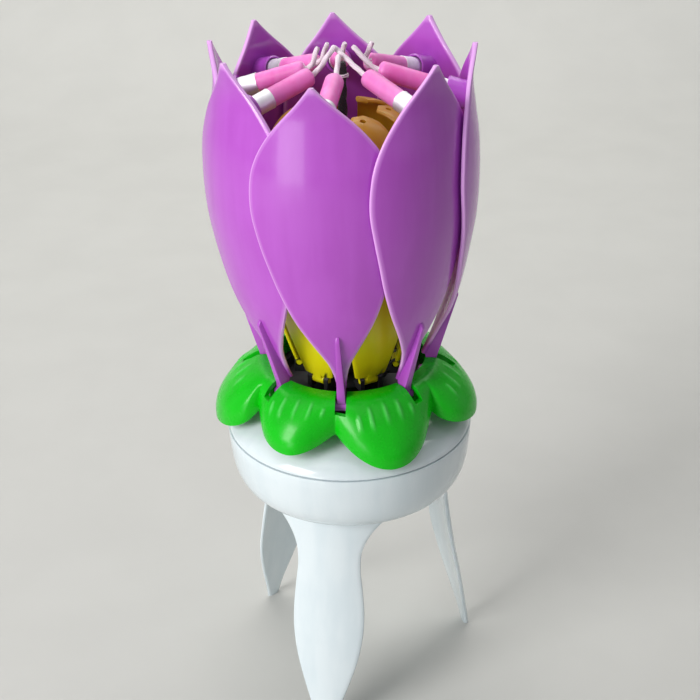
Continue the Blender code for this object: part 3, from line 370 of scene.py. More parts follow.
class CANDLE_PG_base(bpy.types.PropertyGroup):
    """Sizes and colours of the drum and its legs."""

    leg_wall: length_property("Leg wall", "Thickness of a leg", 1.7, 1.0, 2.5)
    steps: IntProperty(name="Steps", description="Facets round the drum", default=144, min=48, max=256)
    shell: colour_property("Shell", "White plastic of the drum and legs", srgb(228, 238, 242))
    shell_deep: colour_property("Shell shade", "Deeper tone of the white plastic", srgb(212, 226, 232))


class CANDLE_PG_stage(bpy.types.PropertyGroup):
    """Floor, lamps and camera."""

    key_power: power_property("Key lamp", "Power of the large lamp at the front left", 6.9)
    top_power: power_property("Top lamp", "Power of the lamp above", 0.7)
    window_power: power_property("Window", "Power of the low lamp that the front petal mirrors", 0.5)
    back_power: power_property("Back lamp", "Power of the lamp over the floor behind", 3.4)
    sky: share_property("Room light", "Strength of the even light from the room", 0.24)
    walls: share_property("Room walls", "How pale the room looks behind the floor and in reflections", 0.52)
    floor: colour_property("Floor", "Floor and backdrop", srgb(201, 201, 197))
    lens: FloatProperty(
        name="Lens", description="Focal length", default=CAMERA_LENS, min=20.0, max=200.0, unit="CAMERA",
    )


# Geometry helpers


def smooth(table, x):
    """Value at x of a smooth curve through the table's (x, value) points."""
    xs = np.array([row[0] for row in table])
    ys = np.array([row[1] for row in table])
    slopes = np.gradient(ys, xs)
    i = int(np.clip(np.searchsorted(xs, x) - 1, 0, len(xs) - 2))
    step = xs[i + 1] - xs[i]
    t = (x - xs[i]) / step
    rise = (2 * t**3 - 3 * t**2 + 1) * ys[i] + (3 * t**2 - 2 * t**3) * ys[i + 1]
    return rise + step * ((t**3 - 2 * t**2 + t) * slopes[i] + (t**3 - t**2) * slopes[i + 1])


def spread(count, even, eased):
    """Shares from 0 to 1 that close up towards 1."""
    return [even * v + eased * math.sin(v * math.pi / 2) for v in np.linspace(0.0, 1.0, count)]


def azimuths(front, count):
    """Azimuths of like pieces round the axis, the first at front."""
    return [front + number * 360.0 / count for number in range(count)]


def around(azimuth, radius, height):
    """Point at an azimuth, a radius and a height, in millimetres."""
    angle = math.radians(azimuth)
    return Vector((radius * math.sin(angle), -radius * math.cos(angle), height))


def turned(azimuth):
    """Rotation about Z that brings local X to an azimuth."""
    return Matrix.Rotation(math.radians(azimuth - 90.0), 4, "Z")


def finish_faces(bm):
    bmesh.ops.remove_doubles(bm, verts=bm.verts, dist=1e-7)
    bmesh.ops.recalc_face_normals(bm, faces=bm.faces)
    return bm


def loft(loops):
    """Closed body through loops of points, each loop joined to the next; the ends are capped."""
    bm = bmesh.new()
    rings = [[bm.verts.new(Vector(p) * MM) for p in loop] for loop in loops]
    count = len(rings[0])
    for low, high in zip(rings, rings[1:]):
        for i in range(count):
            k = (i + 1) % count
            bm.faces.new((low[i], low[k], high[k], high[i]))
    bm.faces.new(rings[0])
    bm.faces.new(rings[-1])
    return finish_faces(bm)


def plate(outer, inner):
    """Closed ring-shaped body between two grids of points whose last column joins the first."""
    bm = bmesh.new()
    top, under = ([[bm.verts.new(Vector(p) * MM) for p in row] for row in grid] for grid in (outer, inner))
    rows, columns = len(top), len(top[0])
    for j in range(columns):
        k = (j + 1) % columns
        for i in range(rows - 1):
            bm.faces.new((top[i][j], top[i][k], top[i + 1][k], top[i + 1][j]))
            bm.faces.new((under[i][j], under[i + 1][j], under[i + 1][k], under[i][k]))
        bm.faces.new((top[0][j], under[0][j], under[0][k], top[0][k]))
        bm.faces.new((top[-1][j], top[-1][k], under[-1][k], under[-1][j]))
    return finish_faces(bm)


def lathe(profile, steps):
    """Body turned about Z from a closed outline of (radius, height) points."""
    bm = bmesh.new()
    ring = [bm.verts.new((r * MM, 0.0, z * MM)) for r, z in profile]
    edges = []
    for i, vert in enumerate(ring):
        k = (i + 1) % len(ring)
        if profile[i][0] > 0 or profile[k][0] > 0:
            edges.append(bm.edges.new((vert, ring[k])))
    bmesh.ops.spin(
        bm, geom=ring + edges, cent=(0, 0, 0), axis=(0, 0, 1), dvec=(0, 0, 0),
        angle=math.tau, steps=steps, use_merge=True,
    )
    return finish_faces(bm)


def circle(radius, sides):
    start = math.pi / sides
    turns = [start + math.tau * i / sides for i in range(sides)]
    return [(radius * math.cos(a), radius * math.sin(a)) for a in turns]


def prism(outline, low, high):
    """Outline of (x, y) points, extruded from low to high along Z."""
    return loft([[(x, y, z) for x, y in outline] for z in (low, high)])


def slab(outline, half):
    """Outline of (radius, height) points, extruded across the radius to both sides."""
    return loft([[(x, y, z) for x, z in outline] for y in (-half, half)])


def box(x, y, z, azimuth):
    bm = prism(((x[0], y[0]), (x[1], y[0]), (x[1], y[1]), (x[0], y[1])), *z)
    bm.transform(turned(azimuth))
    return bm


def rod(radius, low, high, sides, at):
    return prism([(at[0] + x, at[1] + y) for x, y in circle(radius, sides)], low, high)


def cross_rod(radius, half, at):
    return slab([(at[0] + x, at[1] + y) for x, y in circle(radius, PIN_SIDES)], half)


def rounded(bm, width):
    """Rounds the sharp edges of a body."""
    limit = math.radians(SHARP_ANGLE)
    sharp = [e for e in bm.edges if len(e.link_faces) == 2 and e.calc_face_angle() > limit]
    bmesh.ops.bevel(
        bm, geom=sharp, offset=width * MM, offset_type="OFFSET", segments=2, profile=0.5,
        affect="EDGES", clamp_overlap=True,
    )
    return finish_faces(bm)


def blade_offsets(half_width, columns):
    """Places across a blade, in millimetres from its middle: dense beside the edges."""
    inset = min(ROUND_INSET[0], half_width * ROUND_INSET[1])
    near = min(ROUND_BAND[0], half_width * ROUND_BAND[1])
    inner = np.linspace(-(half_width - near), half_width - near, columns - 2)
    return [-(half_width - inset), *inner, half_width - inset], inset


def blade_loop(at, half_width, columns, wall):
    """Section of a blade with round edges, through at(place across it, depth under its outer face)."""
    offsets, inset = blade_offsets(half_width, columns)

    def edge(place, reach, leans):
        turns = [math.radians(lean) for lean in leans]
        return [at(place + reach * math.sin(a), wall / 2 * (1 - math.cos(a))) for a in turns]

    return [
        *(at(offset, 0.0) for offset in offsets), *edge(offsets[-1], inset, ROUND_LEANS),
        *(at(offset, wall) for offset in reversed(offsets)), *edge(offsets[0], -inset, ROUND_LEANS[::-1]),
    ]


def to_mesh(bm, name):
    mesh = bpy.data.meshes.new(name)
    bm.to_mesh(mesh)
    bm.free()
    return mesh


def add_object(name, data):
    made = bpy.data.objects.new(name, data)
    bpy.context.scene.collection.objects.link(made)
    return made


def fused(base, joined=(), cut=()):
    """The base body with others fused on, then those of cut taken out."""
    target = add_object("base", to_mesh(base, "base"))
    helpers = []
    for operation, bodies in (("UNION", joined), ("DIFFERENCE", cut)):
        for bm in bodies:
            helpers.append(add_object("helper", to_mesh(bm, "helper")))
            modifier = target.modifiers.new(operation.title(), "BOOLEAN")
            modifier.operation = operation
            modifier.solver = "EXACT"
            modifier.object = helpers[-1]
    bpy.context.view_layer.update()
    evaluated = target.evaluated_get(bpy.context.evaluated_depsgraph_get())
    result = bmesh.new()
    result.from_mesh(evaluated.to_mesh())
    evaluated.to_mesh_clear()
    for item in (target, *helpers):
        mesh = item.data
        bpy.data.objects.remove(item, do_unlink=True)
        bpy.data.meshes.remove(mesh)
    return result


def piece(name, bm, materials, body, nodes=(), azimuth=None, sharp=38.0, edge=None, pick=None):
    """One visible piece: it rides on its body, and stands for the nodes that it replaces.

    edge(point) is stored at each point as the mask of the painted light that the tint adds, and pick(point)
    chooses each face's material.
    """
    mesh = to_mesh(bm, name)
    if edge is not None:
        attribute = mesh.attributes.new("edge", "FLOAT", "POINT")
        attribute.data.foreach_set("value", [float(edge(v.co / MM)) for v in mesh.vertices])
    for material in materials:
        mesh.materials.append(material)
    if pick is not None:
        for face in mesh.polygons:
            face.material_index = pick(face.center / MM)
    if azimuth is not None:
        mesh.transform(turned(azimuth))
    mesh.shade_smooth()
    mesh.set_sharp_from_angle(angle=math.radians(sharp))
    made = add_object(name, mesh)
    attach(made, body)
    if nodes:
        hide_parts(*nodes)
    return made


# Material helpers


def fill(tree, target, inputs):
    """Gives a node's sockets a value, or a link from another socket."""
    for key, value in inputs.items():
        if isinstance(value, bpy.types.NodeSocket):
            tree.links.new(value, target.inputs[key])
        else:
            target.inputs[key].default_value = value
    return target


def node(tree, kind, inputs, **settings):
    """New node with its settings and inputs."""
    made = tree.nodes.new(kind)
    for key, value in settings.items():
        setattr(made, key, value)
    return fill(tree, made, inputs)


def group(name, inputs):
    """New shader node group: its tree, and the sockets of its named inputs, a colour for each tuple."""
    tree = bpy.data.node_groups.new(name, "ShaderNodeTree")
    for label, value in inputs.items():
        kind = "NodeSocketColor" if isinstance(value, tuple) else "NodeSocketFloat"
        tree.interface.new_socket(label, in_out="INPUT", socket_type=kind).default_value = value
    return tree, tree.nodes.new("NodeGroupInput").outputs


def put_out(tree, outputs):
    """Makes the group's named outputs."""
    for label in outputs:
        kind = "NodeSocketColor" if label == "Colour" else "NodeSocketFloat"
        tree.interface.new_socket(label, in_out="OUTPUT", socket_type=kind)
    fill(tree, tree.nodes.new("NodeGroupOutput"), outputs)
    return tree


def computed(tree, operation, first, second):
    return node(tree, "ShaderNodeMath", {0: first, 1: second}, operation=operation).outputs[0]


def mixed(tree, factor, first, second):
    """Colour between two others."""
    return node(tree, "ShaderNodeMix", {0: factor, 6: first, 7: second}, data_type="RGBA").outputs[2]


def remapped(tree, value, low, high, to_low=0.0, to_high=1.0):
    ramp = node(
        tree, "ShaderNodeMapRange",
        {"Value": value, "From Min": low, "From Max": high, "To Min": to_low, "To Max": to_high},
        interpolation_type="SMOOTHSTEP",
    )
    return ramp.outputs["Result"]


def place_of(tree, stretch=(1.0, 1.0, 1.0)):
    """Position on the piece, stretched along its axes."""
    where = node(tree, "ShaderNodeTexCoord", {})
    mapping = node(tree, "ShaderNodeMapping", {"Vector": where.outputs["Object"], "Scale": stretch})
    return mapping.outputs["Vector"]


def cloudy(tree, scale, detail, stretch=(1.0, 1.0, 1.0)):
    """Noise over the piece."""
    inputs = {"Vector": place_of(tree, stretch), "Scale": scale, "Detail": detail}
    return node(tree, "ShaderNodeTexNoise", inputs).outputs["Fac"]


@functools.cache
def moulded_group():
    """Moulded plastic: soft clouds of a deeper tone, flow streaks, a faint orange peel and uneven gloss."""
    tree, given = group("moulded_plastic", {
        "Colour": (0.5, 0.5, 0.5, 1.0), "Deep Colour": (0.4, 0.4, 0.4, 1.0), "Cloud": 0.35, "Roughness": 0.2,
    })
    clouds = cloudy(tree, scale=55.0, detail=2.0)
    streaks = cloudy(tree, scale=260.0, detail=3.0, stretch=(1.0, 1.0, 0.12))
    share = remapped(tree, computed(tree, "ADD", clouds, streaks), 0.75, 1.25)
    weighed = computed(tree, "MULTIPLY", share, given["Cloud"])
    shift = remapped(tree, cloudy(tree, scale=420.0, detail=3.0), 0.3, 0.7, -0.015, 0.025)
    return put_out(tree, {
        "Colour": mixed(tree, weighed, given["Colour"], given["Deep Colour"]),
        "Roughness": computed(tree, "ADD", given["Roughness"], shift),
        "Height": cloudy(tree, scale=900.0, detail=1.0),
    })


@functools.cache
def tint_group():
    """Second colour where the stored value is high: painted light, such as the highlight on petal edges and
    leaf veins and the warm bounce at the inner petals' tips.
    """
    tree, given = group("painted_tint", {
        "Colour": (0.5, 0.5, 0.5, 1.0), "Tint": (1.0, 1.0, 1.0, 1.0), "Amount": 1.0,
    })
    # Stored mask of the painted light
    edge = node(tree, "ShaderNodeAttribute", {}, attribute_name="edge")
    mask = computed(tree, "MULTIPLY", edge.outputs["Fac"], given["Amount"])
    return put_out(tree, {"Colour": mixed(tree, mask, given["Colour"], given["Tint"])})


@functools.cache
def dust_group():
    """Thin dust on faces that look up."""
    tree, given = group("settled_dust", {
        "Colour": (0.5, 0.5, 0.5, 1.0), "Dust": (0.8, 0.8, 0.78, 1.0), "Amount": 0.1, "Roughness": 0.2,
    })
    where = node(tree, "ShaderNodeTexCoord", {})
    split = node(tree, "ShaderNodeSeparateXYZ", {"Vector": where.outputs["Normal"]})
    up = remapped(tree, split.outputs["Z"], 0.3, 1.0)
    thick = remapped(tree, cloudy(tree, scale=1500.0, detail=4.0), 0.5, 0.75)
    mask = computed(tree, "MULTIPLY", computed(tree, "MULTIPLY", up, thick), given["Amount"])
    duller = computed(tree, "MULTIPLY", mask, 0.4)
    return put_out(tree, {
        "Colour": mixed(tree, mask, given["Colour"], given["Dust"]),
        "Roughness": computed(tree, "ADD", given["Roughness"], duller),
    })


@functools.cache
def yarn_group():
    """Twisted cotton: fine slanted strands, with painted shade in the grooves between them."""
    tree, given = group("cotton_yarn", {
        "Colour": (0.9, 0.9, 0.9, 1.0), "Deep Colour": (0.6, 0.5, 0.55, 1.0), "Strands": 900.0,
    })
    strands = node(
        tree, "ShaderNodeTexWave",
        {"Vector": place_of(tree), "Scale": given["Strands"], "Distortion": 3.0, "Detail": 2.0},
        bands_direction="DIAGONAL",
    )
    share = remapped(tree, strands.outputs["Fac"], 0.1, 0.7)
    colour = mixed(tree, share, given["Deep Colour"], given["Colour"])
    return put_out(tree, {"Colour": colour, "Height": share})


@functools.cache
def metal_group():
    """Plated or rolled metal: fine grain, and faint dull spots."""
    tree, given = group("rolled_metal", {
        "Colour": (0.6, 0.6, 0.6, 1.0), "Deep Colour": (0.4, 0.4, 0.4, 1.0), "Roughness": 0.25,
    })
    spots = cloudy(tree, scale=180.0, detail=3.0)
    share = remapped(tree, spots, 0.45, 0.7)
    shift = remapped(tree, spots, 0.3, 0.7, -0.04, 0.12)
    return put_out(tree, {
        "Colour": mixed(tree, share, given["Colour"], given["Deep Colour"]),
        "Roughness": computed(tree, "ADD", given["Roughness"], shift),
        "Height": cloudy(tree, scale=500.0, detail=4.0, stretch=(1.0, 1.0, 9.0)),
    })


def placed(tree, effect, inputs):
    """Outputs of a shared effect, placed in a material with its own values."""
    return node(tree, "ShaderNodeGroup", inputs, node_tree=effect()).outputs


def opaque(colour):
    return (*colour, 1.0)


def new_material(name):
    material = bpy.data.materials.new(name)
    material.use_nodes = True
    return material, material.node_tree, material.node_tree.nodes["Principled BSDF"]


def bump(tree, height, distance):
    inputs = {"Height": height, "Distance": distance, "Strength": 1.0}
    return node(tree, "ShaderNodeBump", inputs).outputs["Normal"]


def plastic(name, colour, deep, roughness, cloud=0.4, tint=None, amount=1.0, glow=0.0, dust=0.0,
            coat=0.0, peel=0.00002, gloss=0.5):
    """Moulded plastic; tint paints light where the stored value is high, such as highlights on edges and
    veins, glow lets light into the thin walls.
    """
    material, tree, shader = new_material(name)
    base = placed(tree, moulded_group, {
        "Colour": opaque(colour), "Deep Colour": opaque(deep), "Cloud": cloud, "Roughness": roughness,
    })
    shown, rough = base["Colour"], base["Roughness"]
    if tint is not None:
        shown = placed(tree, tint_group, {"Colour": shown, "Tint": opaque(tint), "Amount": amount})["Colour"]
    if dust > 0.0:
        settled = placed(tree, dust_group, {"Colour": shown, "Amount": dust, "Roughness": rough})
        shown, rough = settled["Colour"], settled["Roughness"]
    if glow > 0.0:
        fill(tree, shader, {
            "Subsurface Weight": glow, "Subsurface Radius": GLOW_RADIUS, "Subsurface Scale": GLOW_DEPTH,
        })
    fill(tree, shader, {
        "Base Color": shown, "Roughness": rough, "Specular IOR Level": gloss, "Coat Weight": coat,
        "Coat Roughness": COAT_ROUGHNESS, "Normal": bump(tree, base["Height"], peel),
    })
    return material


def metal(name, colour, deep, roughness):
    material, tree, shader = new_material(name)
    base = placed(tree, metal_group, {
        "Colour": opaque(colour), "Deep Colour": opaque(deep), "Roughness": roughness,
    })
    fill(tree, shader, {
        "Base Color": base["Colour"], "Roughness": base["Roughness"], "Metallic": 1.0,
        "Normal": bump(tree, base["Height"], 0.000015),
    })
    return material


def cotton(name, colour, deep):
    material, tree, shader = new_material(name)
    base = placed(tree, yarn_group, {"Colour": opaque(colour), "Deep Colour": opaque(deep)})
    fill(tree, shader, {
        "Base Color": base["Colour"], "Roughness": 0.75, "Sheen Weight": 0.2,
        "Normal": bump(tree, base["Height"], 0.00008),
    })
    return material


@functools.cache
def petal_material():
    settings = bpy.context.scene.candle_flower
    # The tint paints a highlight along the petals' thin edges.
    return plastic(
        "petal_plastic", settings.petal_colour, settings.petal_deep, 0.24, cloud=0.3,
        tint=settings.petal_edge_highlight, amount=0.95, coat=0.4, peel=0.000006,
    )


@functools.cache
def yellow_material():
    settings = bpy.context.scene.candle_flower
    # The tint paints warm bounce light, with some shade, at the tips.
    return plastic(
        "inner_petal_plastic", settings.yellow, settings.yellow_deep, 0.32, cloud=0.5,
        tint=settings.yellow_tip_bounce, amount=0.8, glow=0.15,
    )


@functools.cache
def leaf_material():
    settings = bpy.context.scene.candle_flower
    # The tint paints a highlight on the raised veins.
    return plastic(
        "leaf_plastic", settings.leaf, settings.leaf_deep, 0.26, cloud=0.45, tint=settings.leaf_vein_highlight,
        amount=0.45, coat=0.1, dust=0.01, peel=0.00001, gloss=0.3,
    )


@functools.cache
def white_material():
    settings = bpy.context.scene.candle_base
    return plastic("white_plastic", settings.shell, settings.shell_deep, 0.16, cloud=0.5, coat=0.3, dust=0.05)


@functools.cache
def wax_material():
    settings = bpy.context.scene.candle_candles
    return plastic("candle_wax", settings.wax, settings.wax_deep, 0.38, cloud=0.8, glow=0.6, peel=0.00005)


@functools.cache
def foil_material():
    colour = bpy.context.scene.candle_candles.foil
    return metal("candle_foil", colour, tuple(c * 0.85 for c in colour), 0.55)


@functools.cache
def wick_material():
    settings = bpy.context.scene.candle_candles
    return cotton("wick_cotton", settings.wick, settings.wick_groove_shade)


# Outer petals


def petal_share(height, number):
    """Height of a point of a petal as a share from the foot to the petal's own tip."""
    return (height - PETAL_FOOT_Z) / (PETAL_TIP_Z - PETAL_DROP[number] - PETAL_FOOT_Z)


def petal_level(height, number):
    """Height in the tables, which are for the highest petal, of a point of one petal."""
    return PETAL_FOOT_Z + (PETAL_TIP_Z - PETAL_FOOT_Z) * petal_share(height, number)


def petal_radius(height, angle, number):
    """Outer surface of an outer petal; the left edge stands out and the right edge tucks in."""
    return smooth(PETAL_RADIUS, petal_level(height, number)) - PETAL_SKEW * angle / PETAL_SKEW_ANGLE


def petal_sway(height, number):
    return PETAL_SWAY[number] * min(max(petal_share(height, number), 0.0), 1.0) ** 2


def petal_half(height, number):
    return smooth(PETAL_HALF_ANGLE, min(petal_level(height, number), PETAL_TIP_Z))


def petal_blade(number, wall):
    """Blade of one outer petal, with round edges."""
    loops = []
    tip = PETAL_TIP_Z - PETAL_DROP[number]
    for rise in spread(PETAL_ROWS, *PETAL_ROW_SPREAD):
        height = PETAL_FOOT_Z + (tip - PETAL_FOOT_Z) * rise
        sway = petal_sway(height, number)
        middle = petal_radius(height, 0.0, number)

        def at(offset, depth):
            angle = math.degrees(offset / middle)
            radius = petal_radius(height, angle, number) - depth
            turn = math.radians(angle + sway)
            return Vector((radius * math.cos(turn), radius * math.sin(turn), height))

        half_width = math.radians(petal_half(height, number)) * middle
        loops.append(blade_loop(at, half_width, PETAL_COLUMNS, wall))
    return loft(loops)


def petal_edge_highlight(number):
    """How near a point of a petal is to the blade's edge, from 0 to 1: the mask of the painted edge
    highlight.
    """
    def value(point):
        half = petal_half(point.z, number)
        middle = petal_radius(point.z, 0.0, number)
        if point.z < PETAL_FOOT_Z + EDGE_START or math.hypot(point.x, point.y) < middle - EDGE_DEPTH:
            return 0.0
        angle = math.degrees(math.atan2(point.y, point.x)) - petal_sway(point.z, number)
        inside = math.radians(half - abs(angle)) * middle
        top = (PETAL_TIP_Z - PETAL_DROP[number] - point.z) * EDGE_TIP[0]
        return np.clip(1.0 - min(inside, top + EDGE_TIP[1]) / EDGE_WIDTH, 0.0, 1.0) ** EDGE_FADE
    return value


def candle_axis(cup):
    """Point and direction of a candle's axis: from its cup's mouth, inwards and up."""
    (radius, height), tilt = cup
    angle = math.radians(tilt)
    return Vector((radius, 0, height)), Vector((-math.cos(angle), 0, math.sin(angle)))


def along_axis(bm, cup):
    start, direction = candle_axis(cup)
    bm.transform(Matrix.Translation(start * MM) @ direction.to_track_quat("Z", "X").to_matrix().to_4x4())
    return bm


def candle_cup(cup, wall_radius):
    """Round cup with a rolled rim; its root is drawn out to the petal's wall, wall_radius(point)."""
    start, direction = candle_axis(cup)
    across = Vector((0, 1, 0))
    over = direction.cross(across)

    def at(side, radius, depth):
        return start + side * radius - direction * depth

    lines = []
    for x, y in circle(1.0, CUP_SIDES):
        side = across * x + over * y
        reach = CUP_ROOT_LEAST
        while True:
            root = at(side, CUP_R + CUP_FLARE, reach)
            if math.hypot(root.x, root.y) >= wall_radius(root):
                break
            reach += CUP_ROOT_STEP
        lines.append((
            at(side, CUP_R - CUP_RIM, 0.0), at(side, CUP_R, CUP_RIM),
            *(at(side, CUP_R + wider, reach - over_end) for wider, over_end in CUP_ROOT_CURVE),
        ))
    return loft(zip(*lines))


def cup_bore(cup):
    wide = CUP_BORE_R + CUP_FLARE
    profile = (
        (0.0, -CUP_DEPTH), (CUP_BORE_R, -CUP_DEPTH), (CUP_BORE_R, -CUP_FLARE), (wide, 0.02), (wide, 1.0),
        (0.0, 1.0),
    )
    return along_axis(lathe(profile, CUP_SIDES), cup)


def petal_rib():
    """Slender fin on the lower outer side, narrow at the top, joined to the hinge barrel."""
    bm = slab(RIB_OUTLINE, 1.0)
    slope = (RIB_TOP[1] - RIB_FOOT[1]) / (RIB_TOP[0] - RIB_FOOT[0])
    for vert in bm.verts:
        vert.co.y *= RIB_FOOT[1] + slope * (vert.co.z / MM - RIB_FOOT[0])
    return rounded(bm, RIB_ROUND)


def outer_petal(number, wall):
    def wall_radius(p):
        return petal_radius(p.z, math.degrees(math.atan2(p.y, p.x)), number) - wall / 2

    cup = candle_cup(OUTER_CUP, wall_radius)
    bore = cup_bore(OUTER_CUP)
    for bm in (cup, bore):
        bm.transform(Matrix.Rotation(math.radians(petal_sway(OUTER_CUP[0][1], number)), 4, "Z"))
    return fused(
        petal_blade(number, wall),
        joined=(
            petal_rib(), cross_rod(*OUTER_BARREL, OUTER_HINGE), cross_rod(*OUTER_PIN, OUTER_HINGE),
            rounded(slab(LEVER_OUTLINE, LEVER_HALF), LEVER_ROUND), cup,
        ),
        cut=(bore,),
    )


class CANDLE_OT_outer_petals(bpy.types.Operator):
    """Purple outer petals with their ribs, candle cups and hinge barrels."""

    bl_idname = "candle.outer_petals"
    bl_label = "Outer petals"

    def execute(self, context):
        wall = context.scene.candle_flower.petal_wall / MM
        for number, azimuth in enumerate(azimuths(FRONT_PETAL_AZIMUTH, OUTER_PETALS)):
            name = f"outer_petal_{number + 1}"
            piece(
                f"{name}_shell", outer_petal(number, wall), (petal_material(),), f"outer_{number + 1}",
                (name,), azimuth, edge=petal_edge_highlight(number),
            )
        return {"FINISHED"}


# Inner petals


def inner_point(t, across):
    """Point of an inner petal's outer surface, t along its curve and across it in millimetres."""
    radius = smooth([(row[0], row[1]) for row in INNER_CURVE], t)
    height = smooth([(row[0], row[2]) for row in INNER_CURVE], t)
    bend = 1.0 / max(radius, INNER_BEND_LEAST)
    return Vector((radius - (1 - math.cos(across * bend)) / bend, math.sin(across * bend) / bend, height))


def inner_blade():
    loops = []
    step = 0.01
    for v in np.linspace(0.0, 1.0, INNER_ROWS):

        def at(offset, depth):
            here = inner_point(v, offset)
            rising = inner_point(min(v + step, 1.0), offset) - inner_point(max(v - step, 0.0), offset)
            sideways = inner_point(v, offset + step) - inner_point(v, offset - step)
            return here - sideways.cross(rising).normalized() * depth

        loops.append(blade_loop(at, float(smooth(INNER_HALF_WIDTH, v)), INNER_COLUMNS, INNER_WALL))
    return loft(loops)


def inner_wall_radius(point):
    heights = [row[2] for row in INNER_CURVE]
    radii = [row[1] for row in INNER_CURVE]
    return float(np.interp(point.z, heights, radii)) - INNER_WALL / 2


def inner_petal():
    return fused(
        inner_blade(),
        joined=(
            rounded(slab(STEM_OUTLINE, STEM_HALF), STEM_ROUND), cross_rod(*INNER_BARREL, INNER_HINGE),
            cross_rod(*INNER_PIN, INNER_HINGE), candle_cup(INNER_CUP, inner_wall_radius),
        ),
        cut=(cup_bore(INNER_CUP), rod(TIP_HOLE_R, *TIP_HOLE_Z, 20, TIP_HOLE_AT)),
    )


def inner_tip_bounce(point):
    """How near a point of an inner petal is to its tip, from 0 to 1: the mask of the painted bounce light
    there.
    """
    low, high = TIP_BOUNCE_Z
    return np.clip((point.z - low) / (high - low), 0.0, 1.0)


class CANDLE_OT_inner_petals(bpy.types.Operator):
    """Yellow inner petals with a hole near the tip."""

    bl_idname = "candle.inner_petals"
    bl_label = "Inner petals"

    def execute(self, context):
        shape = inner_petal()
        for number, azimuth in enumerate(azimuths(FRONT_INNER_AZIMUTH, INNER_PETALS), 1):
            name = f"inner_petal_{number}"
            piece(
                f"{name}_shell", shape.copy(), (yellow_material(),), f"inner_{number}", (name,),
                azimuth, edge=inner_tip_bounce,
            )
        shape.free()
        return {"FINISHED"}


# Small candles


def candle_body(radius, out, foil_out, seed):
    """Wax with a rounded end, in crinkled foil up to foil_out from the cup's mouth; along Z."""
    inside = -CUP_DEPTH + 0.3
    profile = [
        (radius * 0.9, inside),
        *((radius + 0.1, s) for s in np.linspace(inside + 0.2, foil_out - 0.3, 9)),
        (radius + 0.14, foil_out - 0.05), (radius + 0.02, foil_out + 0.04), (radius - 0.03, foil_out + 0.1),
        *((radius - 0.03, s) for s in np.linspace(foil_out + 0.6, out - 1.5, 8)),
        (radius * 0.97, out - 0.9), (radius * 0.86, out - 0.35), (radius * 0.62, out - 0.02),
        (0.9, out + 0.12),
    ]
    loops = []
    for r, s in profile:
        loop = []
        for x, y in circle(1.0, CANDLE_SIDES):
            rough = noise.noise(Vector((x * 2.2 + seed, y * 2.2, s * 1.3)))
            size = r + rough * (FOIL_CRINKLE if s < foil_out else WAX_UNEVEN)
            loop.append((x * size, y * size, s))
        loops.append(loop)
    return loft(loops)


def strand(path, radius, sides=15, lobes=3, twist=0.9):
    """Twisted yarn along a path of points in millimetres, with thin ends."""
    points = [Vector(p) for p in path]
    runs = [(b - a).length for a, b in zip(points, points[1:])]
    along = np.concatenate(([0.0], np.cumsum(runs)))
    count = max(6, int(along[-1] / STRAND_STEP))
    curve = [
        Vector([smooth(list(zip(along, [p[i] for p in points])), s) for i in range(3)])
        for s in np.linspace(0.0, along[-1], count)
    ]
    loops = []
    reference = Vector((0.31, 0.87, 0.38))
    for i, point in enumerate(curve):
        run = (curve[min(i + 1, count - 1)] - curve[max(i - 1, 0)]).normalized()
        first = (reference - run * reference.dot(run)).normalized()
        second = run.cross(first)
        reference = first
        loop = []
        for k in range(sides):
            a = math.tau * k / sides
            size = radius * (1 - STRAND_GROOVE + STRAND_GROOVE * math.cos(lobes * a + twist * i))
            if i in (0, count - 1):
                size *= STRAND_END
            loop.append(point + first * (size * math.cos(a)) + second * (size * math.sin(a)))
        loops.append(loop)
    return loft(loops)


def add_candle(ring, number, azimuth, cup, out, foil_out, tip, seed):
    """Candle in a cup of one ring of petals, made over local X, with a wick to the local point tip."""
    settings = bpy.context.scene.candle_candles
    wick_radius = settings.wick_radius / MM
    start, direction = candle_axis(cup)
    end = start + direction * out
    bend = end + direction * 1.3
    path = (
        end - direction, end + direction * 0.4, bend + (tip - bend) * 0.12, bend + (tip - bend) * 0.6, tip,
    )
    bm = along_axis(candle_body(settings.radius / MM, out, foil_out, seed + number * SEED_STEP), cup)
    wick = to_mesh(strand(path, wick_radius), "wick")
    bm.from_mesh(wick)
    bpy.data.meshes.remove(wick)

    def pick(centre):
        """Foil, wax or wick at a point."""
        along = (centre - start).dot(direction)
        aside = (centre - start - direction * along).length
        if along > out + 0.05 or (along > out - 1.1 and aside < wick_radius * 1.05):
            return 2
        return 0 if along < foil_out + 0.05 else 1

    name = f"{ring}_candle_{number + 1}"
    piece(
        f"{name}_stick", bm, (foil_material(), wax_material(), wick_material()), f"{ring}_{number + 1}",
        (name,), azimuth, pick=pick,
    )


class CANDLE_OT_candles(bpy.types.Operator):
    """Small candles in the cups of the outer and inner petals."""

    bl_idname = "candle.candles"
    bl_label = "Small candles"

    def execute(self, context):
        for number, azimuth in enumerate(azimuths(FRONT_PETAL_AZIMUTH, OUTER_PETALS)):
            azimuth += petal_sway(OUTER_CUP[0][1], number)
            tip = turned(azimuth).inverted() @ Vector(WICK_TIPS[number])
            add_candle(
                "outer", number, azimuth, OUTER_CUP, OUTER_CANDLE_OUT, OUTER_FOIL_OUT, tip, OUTER_SEED
            )
        start, direction = candle_axis(INNER_CUP)
        tip = start + direction * INNER_CANDLE_OUT + Vector(INNER_WICK)
        for number, azimuth in enumerate(azimuths(FRONT_INNER_AZIMUTH, INNER_PETALS)):
            add_candle(
                "inner", number, azimuth, INNER_CUP, INNER_CANDLE_OUT, INNER_FOIL_OUT, tip, INNER_SEED
            )
        return {"FINISHED"}


# Leaf collar


def vein_mask(turn, along):
    """Height share of the raised veins at an angle from a lobe's peak and a share from hub to rim."""
    best = 0.0
    for vein, start, end in LEAF_VEINS:
        off = abs(turn - vein * (VEIN_FAN[0] - VEIN_FAN[1] * along)) / VEIN_HALF
        reach = np.clip((along - start) / VEIN_ENDS[0], 0, 1) * np.clip((end - along) / VEIN_ENDS[1], 0, 1)
        best = max(best, reach * max(0.0, 1.0 - off * off))
    return best


